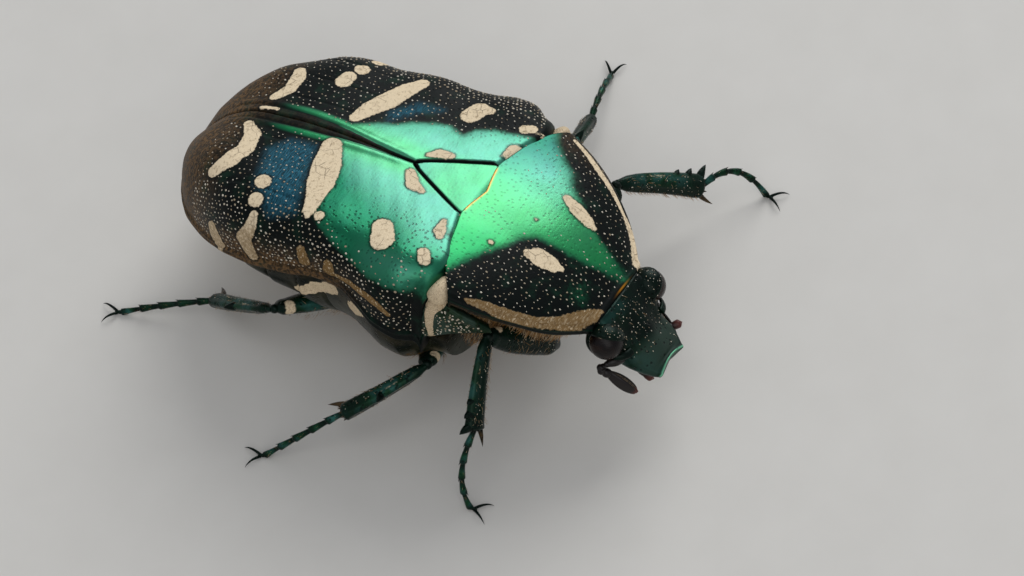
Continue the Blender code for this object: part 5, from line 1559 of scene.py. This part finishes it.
def tiled(charts):
    """Places of all the roots on one unwrap at one scale, the skins' charts side by side on shelves."""
    gap = 0.4
    reaches = [chart - chart.min(0) for chart in charts]
    spans = [reach.max(0) + gap for reach in reaches]
    width = 1.15 * math.sqrt(sum(span[0] * span[1] for span in spans))
    corners, here, shelf, tall = {}, 0.0, 0.0, 0.0
    for i in sorted(range(len(charts)), key=lambda i: -spans[i][1]):
        if here + spans[i][0] > width:
            here, shelf, tall = 0.0, shelf + tall, 0.0
        corners[i] = np.array((here, shelf))
        here, tall = here + spans[i][0], max(tall, spans[i][1])
    scale = 0.99 / max(width, shelf + tall)
    places = np.concatenate([(reach + corners[i] + gap / 2) * scale for i, reach in enumerate(reaches)])
    return np.column_stack((places, np.zeros(len(places))))


def scatter(kind, name, template, finish, thickness, length):
    """Realizes one kind of growth on all its roots as a plain mesh."""
    seed = SEEDS[kind]
    if kind not in GROWTH:
        raise RuntimeError("make the skins before the " + kind)
    points, ways, lies, sizes = (np.concatenate(part) for part in list(zip(*GROWTH[kind]))[:4])
    places = tiled([part[-1] for part in GROWTH[kind]])
    roots = bpy.data.meshes.new(name)
    roots.from_pydata(points.tolist(), [], [])
    rng = np.random.default_rng(seed)
    for field, values in (("skin_way", ways), ("lie", lies), ("size", sizes * MM), ("root_place", places)):
        made = roots.attributes.new(field, "FLOAT_VECTOR", "POINT")
        made.data.foreach_set("vector", values.astype(np.float32).ravel())
    tone = roots.attributes.new("tone", "FLOAT", "POINT")
    tone.data.foreach_set("value", rng.random(len(points)).astype(np.float32))
    piece = bpy.data.objects.new(name, roots)
    bpy.context.scene.collection.objects.link(piece)
    step = piece.modifiers.new("scatter", "NODES")
    step.node_group = scatter_tree()
    given = {"Template": template, "Finish": finish, "Thickness": thickness, "Length": length,
             "Variation": SIZE_VARIATION, "Patch": PATCH_SIZE, "Seed": seed}
    for item in step.node_group.interface.items_tree:
        if item.in_out == "INPUT" and item.name in given:
            step[item.identifier] = given[item.name]
    bpy.context.view_layer.update()
    evaluated = piece.evaluated_get(bpy.context.evaluated_depsgraph_get())
    mesh = bpy.data.meshes.new_from_object(evaluated)
    piece.modifiers.clear()
    piece.data = mesh
    for field in ("skin_way", "lie", "size", "root_place", "patch"):
        if field in mesh.attributes:
            mesh.attributes.remove(mesh.attributes[field])
    mesh.shade_smooth()
    bpy.data.objects.remove(template, do_unlink=True)
    return dress(piece, finish, "cream_felt")


# The photograph's view in the beetle's axes: turn and height of the camera in degrees, its roll, the
# distance in millimetres, and the place and pixel that fix its aim.
VIEW_TURN = math.radians(28.5)
VIEW_HEIGHT = math.radians(47.0)
VIEW_ROLL = math.radians(1.1)
VIEW_DISTANCE = 200.0
VIEW_SCALE = 24.9
VIEW_ANCHOR = np.array((0.0, 3.2, 9.5))
VIEW_ANCHOR_PIXEL = (417.0, 164.0)
FRAME_SIZE = (1024, 576)


def add_camera():
    """Camera at the photograph's viewing angle, which leans with the body."""
    toward = np.array((-math.cos(VIEW_TURN), -math.sin(VIEW_TURN), 0.0))
    right = np.array((math.sin(VIEW_TURN), -math.cos(VIEW_TURN), 0.0))
    back = toward * math.cos(VIEW_HEIGHT) + np.array((0, 0, math.sin(VIEW_HEIGHT)))
    up = np.cross(back, right)
    right, up = (right * math.cos(VIEW_ROLL) + up * math.sin(VIEW_ROLL),
                 up * math.cos(VIEW_ROLL) - right * math.sin(VIEW_ROLL))
    focal = VIEW_SCALE * VIEW_DISTANCE
    off_x, off_y = ((pixel - size / 2) / focal for pixel, size in zip(VIEW_ANCHOR_PIXEL, FRAME_SIZE))
    position = VIEW_ANCHOR - VIEW_DISTANCE * (right * off_x - up * off_y - back)
    camera = bpy.data.cameras.new("photo_view")
    camera.lens = focal / FRAME_SIZE[0] * camera.sensor_width
    camera.clip_start = 0.01
    camera.clip_end = 10.0
    made = bpy.data.objects.new("photo_view", camera)
    axes = np.stack((TURN @ right, TURN @ up, TURN @ back), 1)
    world = Matrix(axes.tolist()).to_4x4()
    world.translation = Vector(body_to_world(position))
    made.matrix_world = world
    bpy.context.scene.collection.objects.link(made)
    bpy.context.scene.camera = made


def add_light(name, turn, height, distance, size, power, colour):
    """Soft area light that faces the beetle, turn counted from +X towards +Y."""
    lamp = bpy.data.lights.new(name, "AREA")
    lamp.shape = "DISK"
    lamp.size = size
    lamp.energy = power
    lamp.color = colour
    made = bpy.data.objects.new(name, lamp)
    turn, height = math.radians(turn), math.radians(height)
    way = Vector((math.cos(height) * math.cos(turn), math.cos(height) * math.sin(turn), math.sin(height)))
    made.location = way * distance + Vector((0, 0, LIGHT_AIM))
    made.rotation_euler = way.to_track_quat("Z", "Y").to_euler()
    bpy.context.scene.collection.objects.link(made)


# Each light: turn and height in degrees, distance and size in metres, power in watts, colour.
LIGHTS = {
    "sky_light": (8, 38, 0.30, 0.24, 0.48, (0.97, 0.99, 1.0)),
    "top_light": (190, 66, 0.34, 0.26, 0.15, (0.97, 0.99, 1.0)),
    "near_light": (225, 38, 0.34, 0.20, 0.12, (1.0, 0.97, 0.93)),
}
LIGHT_AIM = 0.006
AMBIENT = 0.40
AMBIENT_COLOUR = (0.86, 0.91, 1.0, 1)
FLOOR_HALF = 0.6


def add_stage():
    """Pale floor, soft lights, plain surroundings and the camera."""
    corners = np.array(((-1, -1, 0), (1, -1, 0), (1, 1, 0), (-1, 1, 0))) * FLOOR_HALF
    floor = mesh_object("floor", corners, [(0, 1, 2, 3)])
    floor.data.materials.append(floor_finish())
    for name, values in LIGHTS.items():
        add_light(name, *values)
    world = bpy.data.worlds.new("studio")
    world.use_nodes = True
    sky = world.node_tree.nodes["Background"]
    sky.inputs["Color"].default_value = AMBIENT_COLOUR
    sky.inputs["Strength"].default_value = AMBIENT
    bpy.context.scene.world = world
    bpy.context.scene.view_settings.view_transform = "Standard"
    add_camera()


class BEETLE_OT_shells(bpy.types.Operator):
    """Makes the pronotum, the scutellum and both wing cases"""

    bl_idname = "beetle.shells"
    bl_label = "Back shells"

    def execute(self, context):
        finish = shell_finish(Look(context.scene.beetle_colours))
        sizes = context.scene.beetle_sizes
        for side in (-1, 1):
            wing_case(side, finish, sizes)
        pronotum(finish, sizes)
        scutellum(finish)
        return {"FINISHED"}


class BEETLE_OT_head(bpy.types.Operator):
    """Makes the head, eyes, feelers and palps"""

    bl_idname = "beetle.head"
    bl_label = "Head"

    def execute(self, context):
        head(skin_finish("head_finish", Look(context.scene.beetle_colours), 0.3))
        eyes, feelers = eye_finish(), feeler_finish()
        for side in (-1, 1):
            eye(side, eyes)
            antenna(side, feelers)
            palp(side, feelers)
        return {"FINISHED"}


class BEETLE_OT_trunk(bpy.types.Operator):
    """Makes the underside and the side plates"""

    bl_idname = "beetle.trunk"
    bl_label = "Underside"

    def execute(self, context):
        look = Look(context.scene.beetle_colours)
        finish = skin_finish("underside_finish", look, 0.32)
        underside(finish)
        throat(finish)
        for side in (-1, 1):
            side_plate(side, finish)
        return {"FINISHED"}


class BEETLE_OT_legs(bpy.types.Operator):
    """Makes the six legs with their teeth, spurs and claws"""

    bl_idname = "beetle.legs"
    bl_label = "Legs"

    def execute(self, context):
        look = Look(context.scene.beetle_colours)
        finish = skin_finish("leg_finish", look, 0.28)
        for label in LEGS:
            leg(label, finish)
        return {"FINISHED"}


class BEETLE_OT_scales(bpy.types.Operator):
    """Sets the white scales in the pits of the dark skin"""

    bl_idname = "beetle.scales"
    bl_label = "Scales"

    def execute(self, context):
        look, sizes = Look(context.scene.beetle_colours), context.scene.beetle_sizes
        scatter("scales", "white_scales", scale_template(), scale_finish(look), sizes.scale_size,
                sizes.scale_size)
        return {"FINISHED"}


class BEETLE_OT_hairs(bpy.types.Operator):
    """Grows the hairs of the head, legs and underside"""

    bl_idname = "beetle.hairs"
    bl_label = "Hairs"

    def execute(self, context):
        look, sizes = Look(context.scene.beetle_colours), context.scene.beetle_sizes
        scatter("hairs", "golden_hairs", hair_template(), hair_finish(look), sizes.hair_thickness,
                sizes.hair_length)
        return {"FINISHED"}


class BEETLE_OT_stage(bpy.types.Operator):
    """Adds the floor, the lights and the camera"""

    bl_idname = "beetle.stage"
    bl_label = "Stage"

    def execute(self, context):
        add_stage()
        return {"FINISHED"}


class BEETLE_PT_panel(bpy.types.Panel):
    """Lists the beetle's pieces and settings"""

    bl_idname = "BEETLE_PT_panel"
    bl_label = "Flower beetle"
    bl_space_type = "VIEW_3D"
    bl_region_type = "UI"
    bl_category = "Beetle"

    def draw(self, context):
        for operator in OPERATORS:
            self.layout.operator(operator.bl_idname)
        for group in (context.scene.beetle_sizes, context.scene.beetle_colours):
            for name in group.__annotations__:
                self.layout.prop(group, name)


OPERATORS = (
    BEETLE_OT_shells, BEETLE_OT_head, BEETLE_OT_trunk, BEETLE_OT_legs, BEETLE_OT_scales, BEETLE_OT_hairs,
    BEETLE_OT_stage,
)
CLASSES = (BeetleColours, BeetleSizes, *OPERATORS, BEETLE_PT_panel)


def register():
    for each in CLASSES:
        bpy.utils.register_class(each)
    bpy.types.Scene.beetle_colours = bpy.props.PointerProperty(type=BeetleColours)
    bpy.types.Scene.beetle_sizes = bpy.props.PointerProperty(type=BeetleSizes)


def unregister():
    del bpy.types.Scene.beetle_sizes
    del bpy.types.Scene.beetle_colours
    for each in reversed(CLASSES):
        bpy.utils.unregister_class(each)


def main():
    register()
    bpy.ops.beetle.shells()
    bpy.ops.beetle.head()
    bpy.ops.beetle.trunk()
    bpy.ops.beetle.legs()
    bpy.ops.beetle.scales()
    bpy.ops.beetle.hairs()
    bpy.ops.beetle.stage()


if __name__ == "__main__":
    main()
